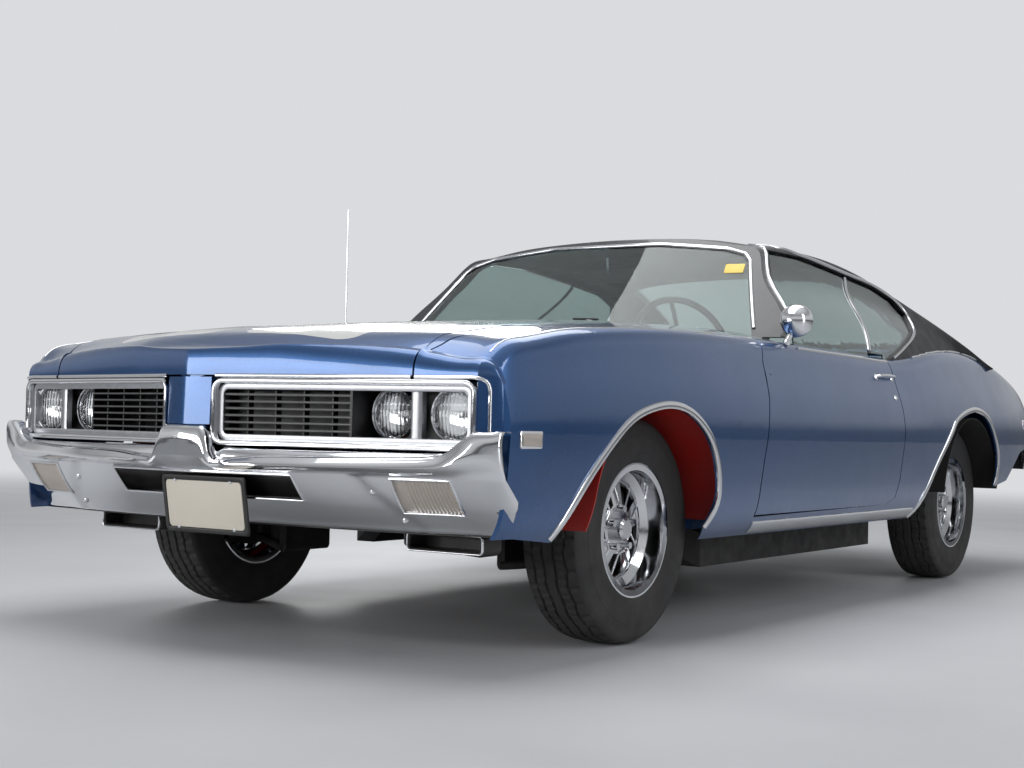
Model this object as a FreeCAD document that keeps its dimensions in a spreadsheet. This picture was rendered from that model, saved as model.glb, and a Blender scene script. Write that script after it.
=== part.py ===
"""Two-door hardtop coupe with a long hood, a vinyl roof and five-spoke wheels.

Millimetres. +Z is up, the front of the car faces -Y and its left side is +X.
The origin is on the ground, under the middle of the car.
"""
import FreeCAD, Part, Sketcher
import math
import os
import types
from FreeCAD import Vector

os.makedirs("parts", exist_ok=True)
doc = FreeCAD.newDocument("coupe")
sheet = doc.addObject("Spreadsheet::Sheet", "Sizes")

SIZES = {
    # whole car
    "half_length": 2564, "half_width": 967, "haunch_height": 1000,
    "front_axle": 1548, "rear_axle": 1297, "wheel_plane": 745,
    "panel_gap": 6, "seat_gap": 0.3, "overrun": 40,
    # body panels
    "skin": 9, "hood_wall": 14, "door_wall": 90, "quarter_wall": 60, "wide_height": 620,
    "crest_round": 46, "sill_tuck": 85, "sill_bottom": 286, "sill_top": 356, "sill_wall": 110,
    "belt_drop": 4,
    # greenhouse
    "roof_height": 1385, "belt_height": 935, "foot_top": 1120, "rail_drop": 66, "roof_wall": 28,
    "glass": 5, "glass_depth": 4, "side_glass_depth": 12, "glass_slot": 26,
    "frame_depth": 62,
    # doors
    "door_top": 60, "hinge_track": 915, "hinge_ahead": 822, "hinge_low": 480, "hinge_high": 790,
    "hinge_tall": 60, "hinge_pin": 6, "hinge_barrel": 12, "hinge_room": 22,
    "post_track": 748, "post_width": 100, "sheet_metal": 4,
    # wheel houses
    "front_house": 392, "apron_track": 462, "rear_house": 372, "rear_house_track": 592,
    # front end
    "nose_half": 84, "nose_reach": 2524, "nose_tip": 2546, "surround_half": 851,
    "surround_reach": 2380, "surround_rim": 15, "surround_deep": 40, "nose_seat": 1,
    "grille_bottom": 563, "grille_top": 742,
    "grille_deep": 74, "bar_count": 8, "bar_tall": 6, "bar_deep": 26, "bar_back": 14,
    "lamp_inner": 574, "lamp_outer": 770, "lamp_height": 653, "lamp_bezel": 73, "lamp_radius": 66,
    "lamp_back": 2312, "lamp_face": 2366, "lamp_dish": 16, "lamp_bulge": 12,
    "bumper_deep": 34, "bumper_bottom": 347, "bumper_crease": 497, "bumper_roll": 540, "bumper_top": 615,
    "bumper_stay": 30,
    "valance_half": 840, "valance_front": 2330, "valance_back": 2080, "scoop_near": 480, "scoop_far": 744,
    "scoop_front": 2170, "scoop_bottom": 286, "scoop_wall": 8,
    "radiator_half": 360, "radiator_front": 2240, "radiator_deep": 70, "radiator_top": 742, "support_half": 460,
    # rear end
    "rear_bumper_bottom": 470, "rear_bumper_top": 600, "tail_bottom": 625, "tail_top": 770,
    "tail_near": 560, "tail_wide": 70, "tail_deep": 20,
    # power train
    "engine_half": 240, "engine_front": 1950, "engine_back": 1230, "engine_bottom": 375, "engine_top": 860,
    "gearbox_back": 620, "gearbox_wide": 200, "shaft_height": 300, "shaft_radius": 38,
    "pipe_radius": 28, "silencer_radius": 60, "tank_half": 420, "tank_front": 1760, "tank_back": 2250,
    "tank_bottom": 400, "tank_top": 555, "tunnel_half": 130, "tunnel_top": 420,
    # cabin
    "dash_half": 690, "seat_near": 140, "seat_far": 620, "rear_seat_half": 570, "shelf_half": 700,
    "driver_track": 370, "wheel_ahead": 410, "wheel_height": 932, "column_angle": 24, "column_length": 420,
    "column_radius": 28, "grip_radius": 190, "grip_thick": 12,
    "mirror_track": 905, "mirror_ahead": 625, "mirror_height": 1010, "mirror_radius": 58, "mirror_deep": 60,
    "mirror_foot": 868, "mirror_stem": 10,
    "antenna_track": 846, "antenna_ahead": 885, "antenna_top": 1460, "antenna_radius": 3,
    # wheels and tyres
    "tyre_radius": 334, "tyre_width": 198, "tread_width": 156, "bead_radius": 180.3, "bead_width": 166,
    "rim_radius": 180, "lip_radius": 197, "rim_width": 186, "rim_wall": 5, "well_radius": 160,
    "spoke_count": 5, "bore_gap": 0.05, "spoke_face": 128, "spoke_wall": 9, "hub_radius": 62,
    "cap_radius": 34, "cap_height": 30,
    "window_inner": 72, "window_outer": 142, "window_near": 20, "window_far": 58,
    "nut_circle": 60.3, "nut_radius": 10, "nut_height": 22, "spindle_radius": 16,
    # steering and front suspension
    "steer_axis": 640, "knuckle_width": 70, "knuckle_height": 150, "arm_spread": 110,
    "arm_height": 26, "arm_width": 34, "pivot_track": 440, "spring_radius": 52,
    "lower_arm_height": 210, "upper_arm_height": 430,
    "drum_radius": 132, "drum_width": 62, "drum_track": 745, "stub_length": 34, "ball_radius": 18,
    "coil_track": 525, "spring_inset": 70,
    # frame
    "rail_width": 80, "rail_height": 110, "front_rail_track": 385, "side_rail_track": 690,
    "rear_rail_track": 540, "cross_width": 120,
    "hitch_half": 100, "hitch_reach": 35, "hitch_bolt_radius": 6.75,
    # rear axle
    "axle_radius": 42, "carrier_radius": 145, "carrier_length": 190,
}
# Sizes of the wheels and tyres that follow from others
DERIVED = {
    "zero": "=0 * rim_wall", "rim_inside": "=rim_radius - rim_wall", "well_inside": "=well_radius - rim_wall",
    "lip_inside": "=lip_radius - rim_wall", "lip_near": "=rim_width - rim_wall", "lip_step": "=rim_width - rim_wall / 2",
    "lip_back": "=rim_wall / 2", "well_start": "=rim_width * 0.27", "well_near": "=rim_width * 0.355",
    "well_far": "=rim_width * 0.59", "well_end": "=rim_width * 0.68", "well_end_in": "=well_end + rim_wall / 2",
    "well_far_in": "=well_far + rim_wall / 2", "well_near_in": "=well_near - rim_wall / 2",
    "well_start_in": "=well_start - rim_wall / 2", "stub_hole": "=spindle_radius + bore_gap",
    "disc_back": "=spoke_face - spoke_wall", "disc_reach": "=well_radius - rim_wall / 2",
    "disc_foot": "=well_far - spoke_wall * 1.5", "disc_edge": "=well_far - spoke_wall / 2",
    "cap_shoulder": "=spoke_face + cap_height * 0.8", "cap_crown": "=cap_radius * 0.8",
    "cap_top": "=spoke_face + cap_height",
    "nut_across": "=nut_circle * cos(36)", "nut_up": "=nut_circle * sin(36)",
    "rim_inboard": "=wheel_plane - rim_width / 2", "tyre_inboard": "=wheel_plane - tyre_width / 2",
    "bead_near": "=(tyre_width - bead_width) / 2", "bead_far": "=(tyre_width + bead_width) / 2",
    "wall_low": "=bead_radius + (tyre_radius - bead_radius) * 0.38",
    "wall_high": "=bead_radius + (tyre_radius - bead_radius) * 0.8",
    "wall_step": "=tyre_width * 0.03", "wall_far": "=tyre_width * 0.97",
    "tread_near": "=(tyre_width - tread_width) / 2 + tyre_width * 0.04",
    "tread_far": "=(tyre_width + tread_width) / 2 - tyre_width * 0.04",
}
for row, (name, value) in enumerate(list(SIZES.items()) + list(DERIVED.items()), start=1):
    sheet.set("A%d" % row, name)
    sheet.set("B%d" % row, str(value))
    sheet.setAlias("B%d" % row, name)
doc.recompute()
size = types.SimpleNamespace(**{name: float(sheet.get(name)) for name in SIZES})

LONG = size.half_length
WIDE = size.half_width
TALL = size.haunch_height
TYRE = size.tyre_radius
OVER = size.overrun
GAP = size.panel_gap
SEAT = size.seat_gap
FRONT = -size.front_axle
REAR = size.rear_axle

# Shapes along the car: pairs of (share of half the length, share of a height or half width)
CREST_HEIGHT_SHARES = (
    (-1, 0.700), (-0.936, 0.745), (-0.927, 0.762), (-0.910, 0.812), (-0.877, 0.846), (-0.809, 0.880),
    (-0.732, 0.901), (-0.604, 0.920), (-0.488, 0.930), (-0.320, 0.934), (0, 0.930), (0.137, 0.925),
    (0.234, 0.938), (0.332, 0.968), (0.429, 0.992), (0.527, 1.000), (0.644, 0.985), (0.761, 0.948),
    (0.858, 0.900), (0.928, 0.858), (1, 0.800),
)
CREST_WIDTH_SHARES = (
    (-1, 0.827), (-0.936, 0.879), (-0.910, 0.906), (-0.877, 0.919), (-0.809, 0.931), (-0.732, 0.936),
    (-0.604, 0.935), (-0.488, 0.929), (-0.320, 0.920), (0, 0.918), (0.234, 0.922), (0.332, 0.915),
    (0.429, 0.902), (0.527, 0.889), (0.644, 0.879), (0.761, 0.871), (0.858, 0.858), (0.928, 0.840),
    (1, 0.796),
)
WIDEST_SHARES = (
    (-1, 0.879), (-0.936, 0.929), (-0.878, 0.957), (-0.780, 0.977), (-0.604, 0.990), (-0.320, 0.999),
    (0, 1.000), (0.218, 1.000), (0.351, 0.999), (0.506, 0.995), (0.663, 0.982), (0.819, 0.957),
    (0.936, 0.915), (1, 0.869),
)
CENTRE_HEIGHT_SHARES = (
    (-1, 0.725), (-0.990, 0.745), (-0.975, 0.790), (-0.956, 0.845), (-0.936, 0.870), (-0.897, 0.885),
    (-0.848, 0.898), (-0.741, 0.930), (-0.604, 0.962), (-0.488, 0.985), (-0.351, 1.010), (-0.273, 1.018),
    (0, 0.985), (0.300, 0.990), (0.585, 1.034), (0.632, 1.020), (0.761, 1.004), (0.858, 0.984),
    (0.940, 0.945), (1, 0.880),
)
ROOF_HEIGHT_SHARES = (
    (-0.330, 0.900), (-0.250, 0.938), (-0.129, 0.980), (-0.078, 0.995), (0, 1.000),
    (0.078, 1.000), (0.176, 0.991), (0.293, 0.960), (0.429, 0.888), (0.585, 0.767), (0.632, 0.731),
    (0.680, 0.700),
)
# Half width of the side glass surface at shares of the roof height
SIDE_GLASS_SHARES = (
    (0.620, 0.916), (0.675, 0.910), (0.721, 0.879), (0.775, 0.827), (0.827, 0.765), (0.874, 0.714),
    (0.903, 0.688), (0.942, 0.662), (1, 0.630),
)
# How far the greenhouse's foot is drawn in towards the rear, as shares of the half width
FOOT_PULL_SHARES = ((0.100, 0), (0.300, 0.020), (0.450, 0.045), (0.680, 0.075))
HULL_STATION_SHARES = (
    -1, -0.975, -0.950, -0.925, -0.900, -0.860, -0.800, -0.720, -0.604, -0.488, -0.351, -0.234, -0.098,
    0.039, 0.137, 0.234, 0.332, 0.429, 0.527, 0.624, 0.741, 0.839, 0.917, 0.967, 1,
)
ROOF_STATION_SHARES = (
    -0.320, -0.250, -0.180, -0.129, -0.060, 0.010, 0.100, 0.200, 0.293, 0.429, 0.520, 0.600, 0.680,
)
# Points of half a section: (share of the crest's half width, share of the drop from centre to crest)
TOP_POINT_SHARES = ((0.30, 0.07), (0.58, 0.28), (0.80, 0.58))
# Points down the side: (share of the flare from crest to widest, share of the drop to it)
SIDE_POINT_SHARES = ((0.30, 0.24), (0.66, 0.52), (0.90, 0.78), (1, 1))
# Points under the widest: (share of the tuck, share of the drop to the sill)
SILL_POINT_SHARES = ((0.06, 0.36), (0.26, 0.74), (1, 1))


def smooth(table, at):
    """A smooth curve through a table that never overshoots its points."""
    if at <= table[0][0]:
        return table[0][1]
    if at >= table[-1][0]:
        return table[-1][1]
    steps = [b[0] - a[0] for a, b in zip(table, table[1:])]
    slopes = [(b[1] - a[1]) / step for a, b, step in zip(table, table[1:], steps)]
    tangents = [slopes[0]]
    for k in range(1, len(slopes)):
        before, after = slopes[k - 1], slopes[k]
        if before * after <= 0:
            tangents.append(0)
        else:
            first = 2 * steps[k] + steps[k - 1]
            second = steps[k] + 2 * steps[k - 1]
            tangents.append((first + second) / (first / before + second / after))
    tangents.append(slopes[-1])
    k = max(i for i in range(len(steps)) if table[i][0] <= at)
    step, part = steps[k], (at - table[k][0]) / steps[k]
    low, high = table[k][1], table[k + 1][1]
    return (
        low * (1 + 2 * part) * (1 - part) ** 2
        + high * part ** 2 * (3 - 2 * part)
        + step * tangents[k] * part * (1 - part) ** 2
        - step * tangents[k + 1] * part ** 2 * (1 - part)
    )


def hull_half(station, side_in, top_in):
    """Half a cross-section of the body, from the middle of the top to the sill, as (x, z)."""
    share = station / LONG
    crest = smooth(CREST_WIDTH_SHARES, share) * WIDE - side_in
    wide = smooth(WIDEST_SHARES, share) * WIDE - side_in
    crest_z = smooth(CREST_HEIGHT_SHARES, share) * TALL - top_in
    centre_z = smooth(CENTRE_HEIGHT_SHARES, share) * TALL - top_in
    bend = size.crest_round
    drop = centre_z - crest_z
    fall = crest_z - size.wide_height
    under = size.wide_height - size.sill_bottom
    points = [(0, centre_z)]
    points += [(crest * x, centre_z - drop * z) for x, z in TOP_POINT_SHARES]
    points.append((crest - bend * 1.5, crest_z + drop * 0.14))
    points.append((crest - bend * 0.45, crest_z))
    points.append((crest + (wide - crest) * 0.05, crest_z - bend * 0.5))
    points += [(crest + (wide - crest) * x, crest_z - fall * z) for x, z in SIDE_POINT_SHARES]
    points += [(wide - size.sill_tuck * x, size.wide_height - under * z) for x, z in SILL_POINT_SHARES]
    return points


def side_glass_width(height):
    return smooth(SIDE_GLASS_SHARES, height / size.roof_height) * WIDE


def roof_half(station, inward):
    """Half a cross-section of the greenhouse, from the roof's middle to below the belt."""
    top = smooth(ROOF_HEIGHT_SHARES, station / LONG) * size.roof_height
    lift = (top - size.belt_height) / (size.roof_height - size.belt_height)
    rail_z = top - size.rail_drop * (0.25 + 0.75 * lift)
    rail = side_glass_width(rail_z)
    foot_z = size.roof_height * SIDE_GLASS_SHARES[0][0]
    pull = smooth(FOOT_PULL_SHARES, station / LONG) * WIDE
    points = [(0, top - inward)]
    for across, down in ((0.35, 0.10), (0.66, 0.38), (0.88, 0.74)):
        points.append(((rail - inward) * across, top - (top - rail_z) * down - inward))
    points.append((rail - inward * 0.9, rail_z - inward * 0.5))
    for part in (0.2, 0.45, 0.7, 1):
        z = rail_z - (rail_z - foot_z) * part
        low = max(0, (size.foot_top - z) / (size.foot_top - foot_z))
        points.append((side_glass_width(z) - inward - pull * low, z))
    return points


def section_curve(half, station, knots):
    """A smooth curve over the car from its right foot to its left one, with its two ends."""
    right = [Vector(-x, station, z) for x, z in reversed(half[1:])]
    left = [Vector(x, station, z) for x, z in half]
    points = right + left
    curve = Part.BSplineCurve()
    curve.interpolate(Points=points, Parameters=knots)
    return curve.toShape(), points[0], points[-1]


def section_wire(half, station, knots):
    """A closed wire across the car: a smooth curve over the top and a straight bottom."""
    curve, right, left = section_curve(half, station, knots)
    return Part.Wire([curve, Part.LineSegment(left, right).toShape()])


def band_wire(half, inner_half, station, knots):
    """A closed wire round a wall that arches over the car, open below."""
    curve, right, left = section_curve(half, station, knots)
    lining, right_in, left_in = section_curve(inner_half, station, knots)
    ends = [Part.LineSegment(left, left_in).toShape(), Part.LineSegment(right_in, right).toShape()]
    return Part.Wire([curve, ends[0], lining, ends[1]])


def knots_of(half):
    """Parameters for a section's curve, spaced as its points are."""
    points = [(-x, z) for x, z in reversed(half[1:])] + list(half)
    total, knots = 0, [0]
    for a, b in zip(points, points[1:]):
        total += math.dist(a, b) ** 0.7
        knots.append(total)
    return [knot / total for knot in knots]


HULL_KNOTS = knots_of(hull_half(0, 0, 0))
ROOF_KNOTS = knots_of(roof_half(0, 0))


def hull():
    """The lower body as a closed solid."""
    places = [share * LONG for share in HULL_STATION_SHARES]
    wires = [section_wire(hull_half(place, 0, 0), place, HULL_KNOTS) for place in places]
    return Part.makeLoft(wires, True, False)


def hull_wall(side_out, top_out, side_in, top_in):
    """The lower body's wall between two depths under its surface."""
    wires = []
    for share in HULL_STATION_SHARES:
        place = share * LONG
        halves = hull_half(place, side_out, top_out), hull_half(place, side_in, top_in)
        wires.append(band_wire(halves[0], halves[1], place, HULL_KNOTS))
    return Part.makeLoft(wires, True, False)


def greenhouse(inward=0):
    """The roof, side glass and sail panels as one closed solid."""
    places = [share * LONG for share in ROOF_STATION_SHARES]
    wires = [section_wire(roof_half(place, inward), place, ROOF_KNOTS) for place in places]
    return Part.makeLoft(wires, True, False)


def roof_wall(depth, inward):
    """The greenhouse's wall between two depths under its surface."""
    wires = []
    for share in ROOF_STATION_SHARES:
        place = share * LONG
        wires.append(band_wire(roof_half(place, depth), roof_half(place, inward), place, ROOF_KNOTS))
    return Part.makeLoft(wires, True, False)


def screen_line(height, inward):
    """The windshield's outer line in plan at a height: its middle's place and its bow."""
    low, high = 0.710 * size.roof_height, 0.949 * size.roof_height
    part = (height - low) / (high - low)
    middle = (-0.2874 + 0.1412 * part) * LONG + inward
    bow = (0.0484 - 0.0230 * part) * LONG
    return middle, bow


def behind_screen(inward=0):
    """Everything behind the windshield's surface, as a closed solid."""
    wires = []
    for share in (0.59, 0.70, 0.82, 0.94, 1.06):
        z = share * size.roof_height
        middle, bow = screen_line(z, inward)
        reach = (-1.1, -0.55, 0, 0.55, 1.1)
        points = [Vector(x * WIDE, middle + bow * (x / 0.724) ** 2, z) for x in reach]
        curve = Part.BSplineCurve()
        curve.interpolate(Points=points, Parameters=[0, 0.25, 0.5, 0.75, 1])
        back = [Vector(1.1 * WIDE, 0.75 * LONG, z), Vector(-1.1 * WIDE, 0.75 * LONG, z)]
        edges = [curve.toShape()]
        edges.append(Part.LineSegment(points[-1], back[0]).toShape())
        edges.append(Part.LineSegment(back[0], back[1]).toShape())
        edges.append(Part.LineSegment(back[1], points[0]).toShape())
        wires.append(Part.Wire(edges))
    return Part.makeLoft(wires, True, False)


def outline(points, place, curved=False):
    """A face inside an outline, with place turning each pair of numbers into a point."""
    spots = [place(a, b) for a, b in points]
    if not curved:
        return Part.Face(Part.makePolygon(spots + spots[:1]))
    curve = Part.BSplineCurve()
    curve.interpolate(spots)
    return Part.Face(Part.Wire([curve.toShape(), Part.LineSegment(spots[-1], spots[0]).toShape()]))


def side_prism(points, near, far, curved=False):
    """A side view outline of (y, z) points, carried across the car from near to far."""
    return outline(points, lambda y, z: Vector(near, y, z), curved).extrude(Vector(far - near, 0, 0))


def plan_prism(points, low, high, curved=False):
    """A plan outline of (x, y) points, carried up from low to high."""
    return outline(points, lambda x, y: Vector(x, y, low), curved).extrude(Vector(0, 0, high - low))


def front_prism(points, near, far, curved=False):
    """A front view outline of (x, z) points, carried back from near to far."""
    return outline(points, lambda x, z: Vector(x, near, z), curved).extrude(Vector(0, far - near, 0))


def block(x0, x1, y0, y1, z0, z1):
    return Part.makeBox(x1 - x0, y1 - y0, z1 - z0, Vector(x0, y0, z0))


def mirrored(shape):
    return shape.mirror(Vector(0, 0, 0), Vector(1, 0, 0))


def both(shape):
    """A shape and its mirror image on the other side of the car."""
    return Part.makeCompound([shape, mirrored(shape)])


def rod(start, end, radius):
    way = end - start
    return Part.makeCylinder(radius, way.Length, start, way)


def mitred_pipe(spots, radius):
    """A round tube along straight runs that meet at mitres."""
    path = Part.makePolygon(spots)
    ring = Part.Wire(Part.makeCircle(radius, spots[0], spots[1] - spots[0]))
    return path.makePipeShell([ring], True, False, 1)


def runner(stations, width, height):
    """A boxed member along the car through (x, y, z) stations."""
    wires = []
    for x, y, z in stations:
        a, b = width / 2, height / 2
        ring = [Vector(x - a, y, z - b), Vector(x + a, y, z - b), Vector(x + a, y, z + b), Vector(x - a, y, z + b)]
        wires.append(Part.makePolygon(ring + ring[:1]))
    return Part.makeLoft(wires, True, True)


def joined(*shapes):
    """One solid, or several that stand apart, from shapes that meet."""
    whole = shapes[0].fuse(list(shapes[1:])) if len(shapes) > 1 else shapes[0]
    return whole.removeSplitter()


def solids(shape):
    found = shape.Solids
    return found[0] if len(found) == 1 else Part.makeCompound(found)


NODES = []


def piece(label, shape):
    """Keep a shape as a sub-part of its own."""
    thing = doc.addObject("Part::Feature", label)
    NODES.append(thing)
    thing.Label = label
    thing.Shape = solids(shape)
    thing.Placement = FreeCAD.Placement()
    return thing


# Perimeter frame
RAIL_SHARES = ((-0.905, 0.405), (-0.440, 0.405), (-0.360, 0.235), (0.225, 0.235), (0.340, 0.480), (0.920, 0.480))
tracks = [size.front_rail_track, size.front_rail_track, size.side_rail_track, size.side_rail_track,
          size.rear_rail_track, size.rear_rail_track]
rail_line = [(track, y * LONG, z * TALL) for track, (y, z) in zip(tracks, RAIL_SHARES)]
rail = runner(rail_line, size.rail_width, size.rail_height)
crosses = []
for y, z, track in ((-0.890, 0.400, size.front_rail_track), (-0.610, 0.345, size.front_rail_track),
                    (-0.120, 0.235, size.side_rail_track), (0.450, 0.480, size.rear_rail_track),
                    (0.910, 0.480, size.rear_rail_track)):
    middle, half = z * TALL, size.rail_height / 4
    crosses.append(block(-track, track, y * LONG, y * LONG + size.cross_width, middle - half, middle + half))
frame = joined(rail, mirrored(rail), *crosses)
hitch_y = crosses[-1].CenterOfMass.y
for x in (-size.hitch_half, size.hitch_half):
    for y in (hitch_y - size.hitch_reach, hitch_y + size.hitch_reach):
        frame = frame.cut(rod(Vector(x, y, 0), Vector(x, y, TALL), size.hitch_bolt_radius))
piece("chassis_frame", frame)
rail_room = runner(rail_line, size.rail_width + 2 * GAP, size.rail_height + 2 * GAP)

# Body and greenhouse forms
outer = hull()
skin = hull_wall(0, 0, size.skin, size.skin)
thick_skin = hull_wall(0, 0, size.hood_wall, size.hood_wall)
lid_seat = size.hood_wall + SEAT
under_lids = hull_wall(lid_seat, lid_seat, size.wide_height, size.wide_height)
core = hull_wall(size.skin / 2, size.skin / 2, size.wide_height, size.wide_height)

# Plan line where the hood and fenders end at the nose, and the deck at the tail
NOSE_SHARES = ((-1.05, -0.890), (-0.951, -0.905), (-0.880, -0.915), (-0.695, -0.926), (-0.109, -0.977),
               (0, -0.985), (0.109, -0.977), (0.695, -0.926), (0.880, -0.915), (0.951, -0.905), (1.05, -0.890))
TAIL_SHARES = ((-1.05, 0.890), (-0.90, 0.912), (-0.60, 0.945), (0, 0.960), (0.60, 0.945), (0.90, 0.912), (1.05, 0.890))
nose_line = [(x * WIDE, y * LONG) for x, y in NOSE_SHARES]
tail_line = [(x * WIDE, y * LONG) for x, y in TAIL_SHARES]
ahead = plan_prism(nose_line + [(1.05 * WIDE, -1.1 * LONG), (-1.05 * WIDE, -1.1 * LONG)], 0, 1.2 * TALL)
astern = plan_prism(tail_line + [(1.05 * WIDE, 1.1 * LONG), (-1.05 * WIDE, 1.1 * LONG)], 0, 1.2 * TALL)

# Wheel arch outlines, in tyre radii from the axle
FRONT_ARCH_SHARES = ((-1.80, 0.60), (-1.656, 0.988), (-1.416, 1.317), (-1.117, 1.617), (-0.778, 1.877),
                     (-0.455, 2.006), (-0.018, 2.066), (0.356, 2.003), (0.665, 1.802), (0.847, 1.530),
                     (0.886, 1.257), (0.800, 1.060), (0.745, 0.900), (0.745, 0.60))
REAR_ARCH_SHARES = ((-2.35, 0.60), (-2.174, 0.925), (-1.967, 1.219), (-1.614, 1.560), (-1.156, 1.898),
                    (-0.802, 2.090), (-0.096, 2.200), (0.437, 2.111), (0.716, 1.841), (0.880, 1.569),
                    (0.865, 1.359), (0.780, 1.150), (0.700, 0.60))


def arch(shares, axle):
    points = [(axle + y * TYRE, z * TYRE) for y, z in shares]
    return both(side_prism(points, 0.50 * WIDE, 1.05 * WIDE, curved=True))


front_arches = arch(FRONT_ARCH_SHARES, FRONT)
rear_arches = arch(REAR_ARCH_SHARES, REAR)
# Room for the tread as it swings about the steering axis
steer_foot = Vector(size.steer_axis, FRONT, 0)
tread_swing = math.hypot(TYRE, size.wheel_plane + size.tread_width / 2 - size.steer_axis) + GAP
steer_room = both(rod(steer_foot, steer_foot + Vector(0, 0, TYRE * 1.5), tread_swing))

# Hood seam in plan, and the hood's rear edge at the cowl
HOOD_SEAM_SHARES = ((0.690, -1.02), (0.690, -0.930), (0.712, -0.919), (0.724, -0.911), (0.739, -0.891),
                    (0.755, -0.869), (0.786, -0.801), (0.807, -0.651), (0.817, -0.518), (0.822, -0.390),
                    (0.815, -0.310), (0.700, -0.299), (0.350, -0.299))


def hood_plan(grow):
    left = [((x * WIDE + grow), y * LONG + (grow if y > -0.32 else 0)) for x, y in HOOD_SEAM_SHARES]
    right = [(-x, y) for x, y in reversed(left)]
    return plan_prism(left + right, 0.60 * TALL, 1.2 * TALL)


hood = thick_skin.common(hood_plan(0)).cut(ahead)
hood_hole = hood_plan(GAP)

# Trunk lid in plan
LID_SHARES = ((0.775, 0.640), (0.790, 0.655), (0.770, 0.860), (0.745, 0.930), (0.740, 1.02))


def lid_plan(grow):
    left = [(x * WIDE + grow, y * LONG - (grow if y < 0.65 else 0)) for x, y in LID_SHARES]
    right = [(-x, y) for x, y in reversed(left)]
    return plan_prism(left + right, 0.780 * TALL - grow, 1.2 * TALL)


trunk_lid = thick_skin.common(lid_plan(0)).cut(astern)
lid_hole = lid_plan(GAP)

# Door outline in side view, from the belt round the bottom
DOOR_SHARES = ((-0.316, 1.02), (-0.316, 0.940), (-0.333, 0.860), (-0.341, 0.740), (-0.354, 0.645),
               (-0.364, 0.550), (-0.370, 0.450), (-0.372, 0.362), (0.080, 0.362), (0.108, 0.385),
               (0.118, 0.454), (0.126, 0.573), (0.133, 0.649), (0.136, 0.727), (0.134, 0.828), (0.134, 1.02))


def door_outline(shrink):
    middle_y, middle_z = -0.118 * LONG, 0.65 * TALL
    points = []
    for y, z in DOOR_SHARES:
        along, up = y * LONG, z * TALL
        points.append((along + math.copysign(shrink, middle_y - along), up + (shrink if up < middle_z / 1.5 else 0)))
    return points


# Cabin opening between the belts, in plan
CABIN_SHARES = ((0.740, -0.235), (0.740, -0.185), (0.822, -0.180), (0.822, 0.240), (0.800, 0.430),
                (0.700, 0.560), (0.600, 0.578))
cabin_left = [(x * WIDE, y * LONG) for x, y in CABIN_SHARES]
cabin_plan = cabin_left + [(-x, y) for x, y in reversed(cabin_left)]
cabin_hole = plan_prism(cabin_plan, 0.80 * TALL, 1.2 * TALL)

# Lower edges of the panels in side view
FLOOR_LINE_SHARES = ((-1.1, 0.345), (-0.885, 0.345), (-0.820, 0.328), (-0.500, 0.296), (0.240, 0.296),
                     (0.520, 0.330), (0.600, 0.400), (0.693, 0.427), (0.783, 0.558), (0.900, 0.600), (1.1, 0.610))
under_line = [(y * LONG, z * TALL) for y, z in FLOOR_LINE_SHARES]
underneath = side_prism(under_line + [(1.1 * LONG, 0), (-1.1 * LONG, 0)], -1.1 * WIDE, 1.1 * WIDE)

# Fenders
fender_zone = side_prism(
    [(-1.1 * LONG, 0), (-1.1 * LONG, 1.2 * TALL)]
    + [(y * LONG - GAP, z * TALL) for y, z in DOOR_SHARES[:8]]
    + [(DOOR_SHARES[7][0] * LONG - GAP, 0)],
    -1.1 * WIDE, 1.1 * WIDE,
)
fenders = skin.common(fender_zone).cut([hood_hole, front_arches, steer_room, ahead, underneath])
fenders = fenders.cut(block(-0.60 * WIDE, 0.60 * WIDE, -1.1 * LONG, 0, 0, 1.2 * TALL))
cowl_cut = block(-0.78 * WIDE, 0.78 * WIDE, -0.320 * LONG, 0, 0.9 * TALL, 1.2 * TALL)
fender_solids = sorted(fenders.cut(cowl_cut).Solids, key=lambda s: s.Volume)[-2:]
fender_left = max(fender_solids, key=lambda s: s.CenterOfMass.x)
fender_right = min(fender_solids, key=lambda s: s.CenterOfMass.x)
piece("hood", hood)
piece("trunk_lid", trunk_lid)

# Quarter panels, tail, sills and deck filler as one shell
rear_zone = side_prism(
    [((y * LONG + GAP), z * TALL) for y, z in DOOR_SHARES[:7:-1]]
    + [(-0.372 * LONG - GAP, 0.362 * TALL - GAP), (-0.372 * LONG - GAP, 0), (1.1 * LONG, 0), (1.1 * LONG, 1.02 * TALL)],
    -1.1 * WIDE, 1.1 * WIDE,
)
tall_zone = block(-1.1 * WIDE, 1.1 * WIDE, 0.14 * LONG, 1.1 * LONG, TALL, 1.2 * TALL)
shell_skin = skin.common(rear_zone.fuse(tall_zone)).cut([lid_hole, rear_arches, astern, underneath, cabin_hole])
tail_cap = core.common(plan_prism(
    tail_line + [(x, y - size.skin * 2) for x, y in reversed(tail_line)], 0.56 * TALL, 1.2 * TALL))
tail_cap = tail_cap.cut(lid_hole.cut(under_lids))
shell = joined(shell_skin, tail_cap)
shell = max(shell.Solids, key=lambda s: s.Volume)

# Greenhouse, roof and windshield frame
dome = greenhouse()
behind_frame = behind_screen(size.frame_depth)
screen_wall = behind_screen().cut(behind_frame).common(dome)
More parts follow.
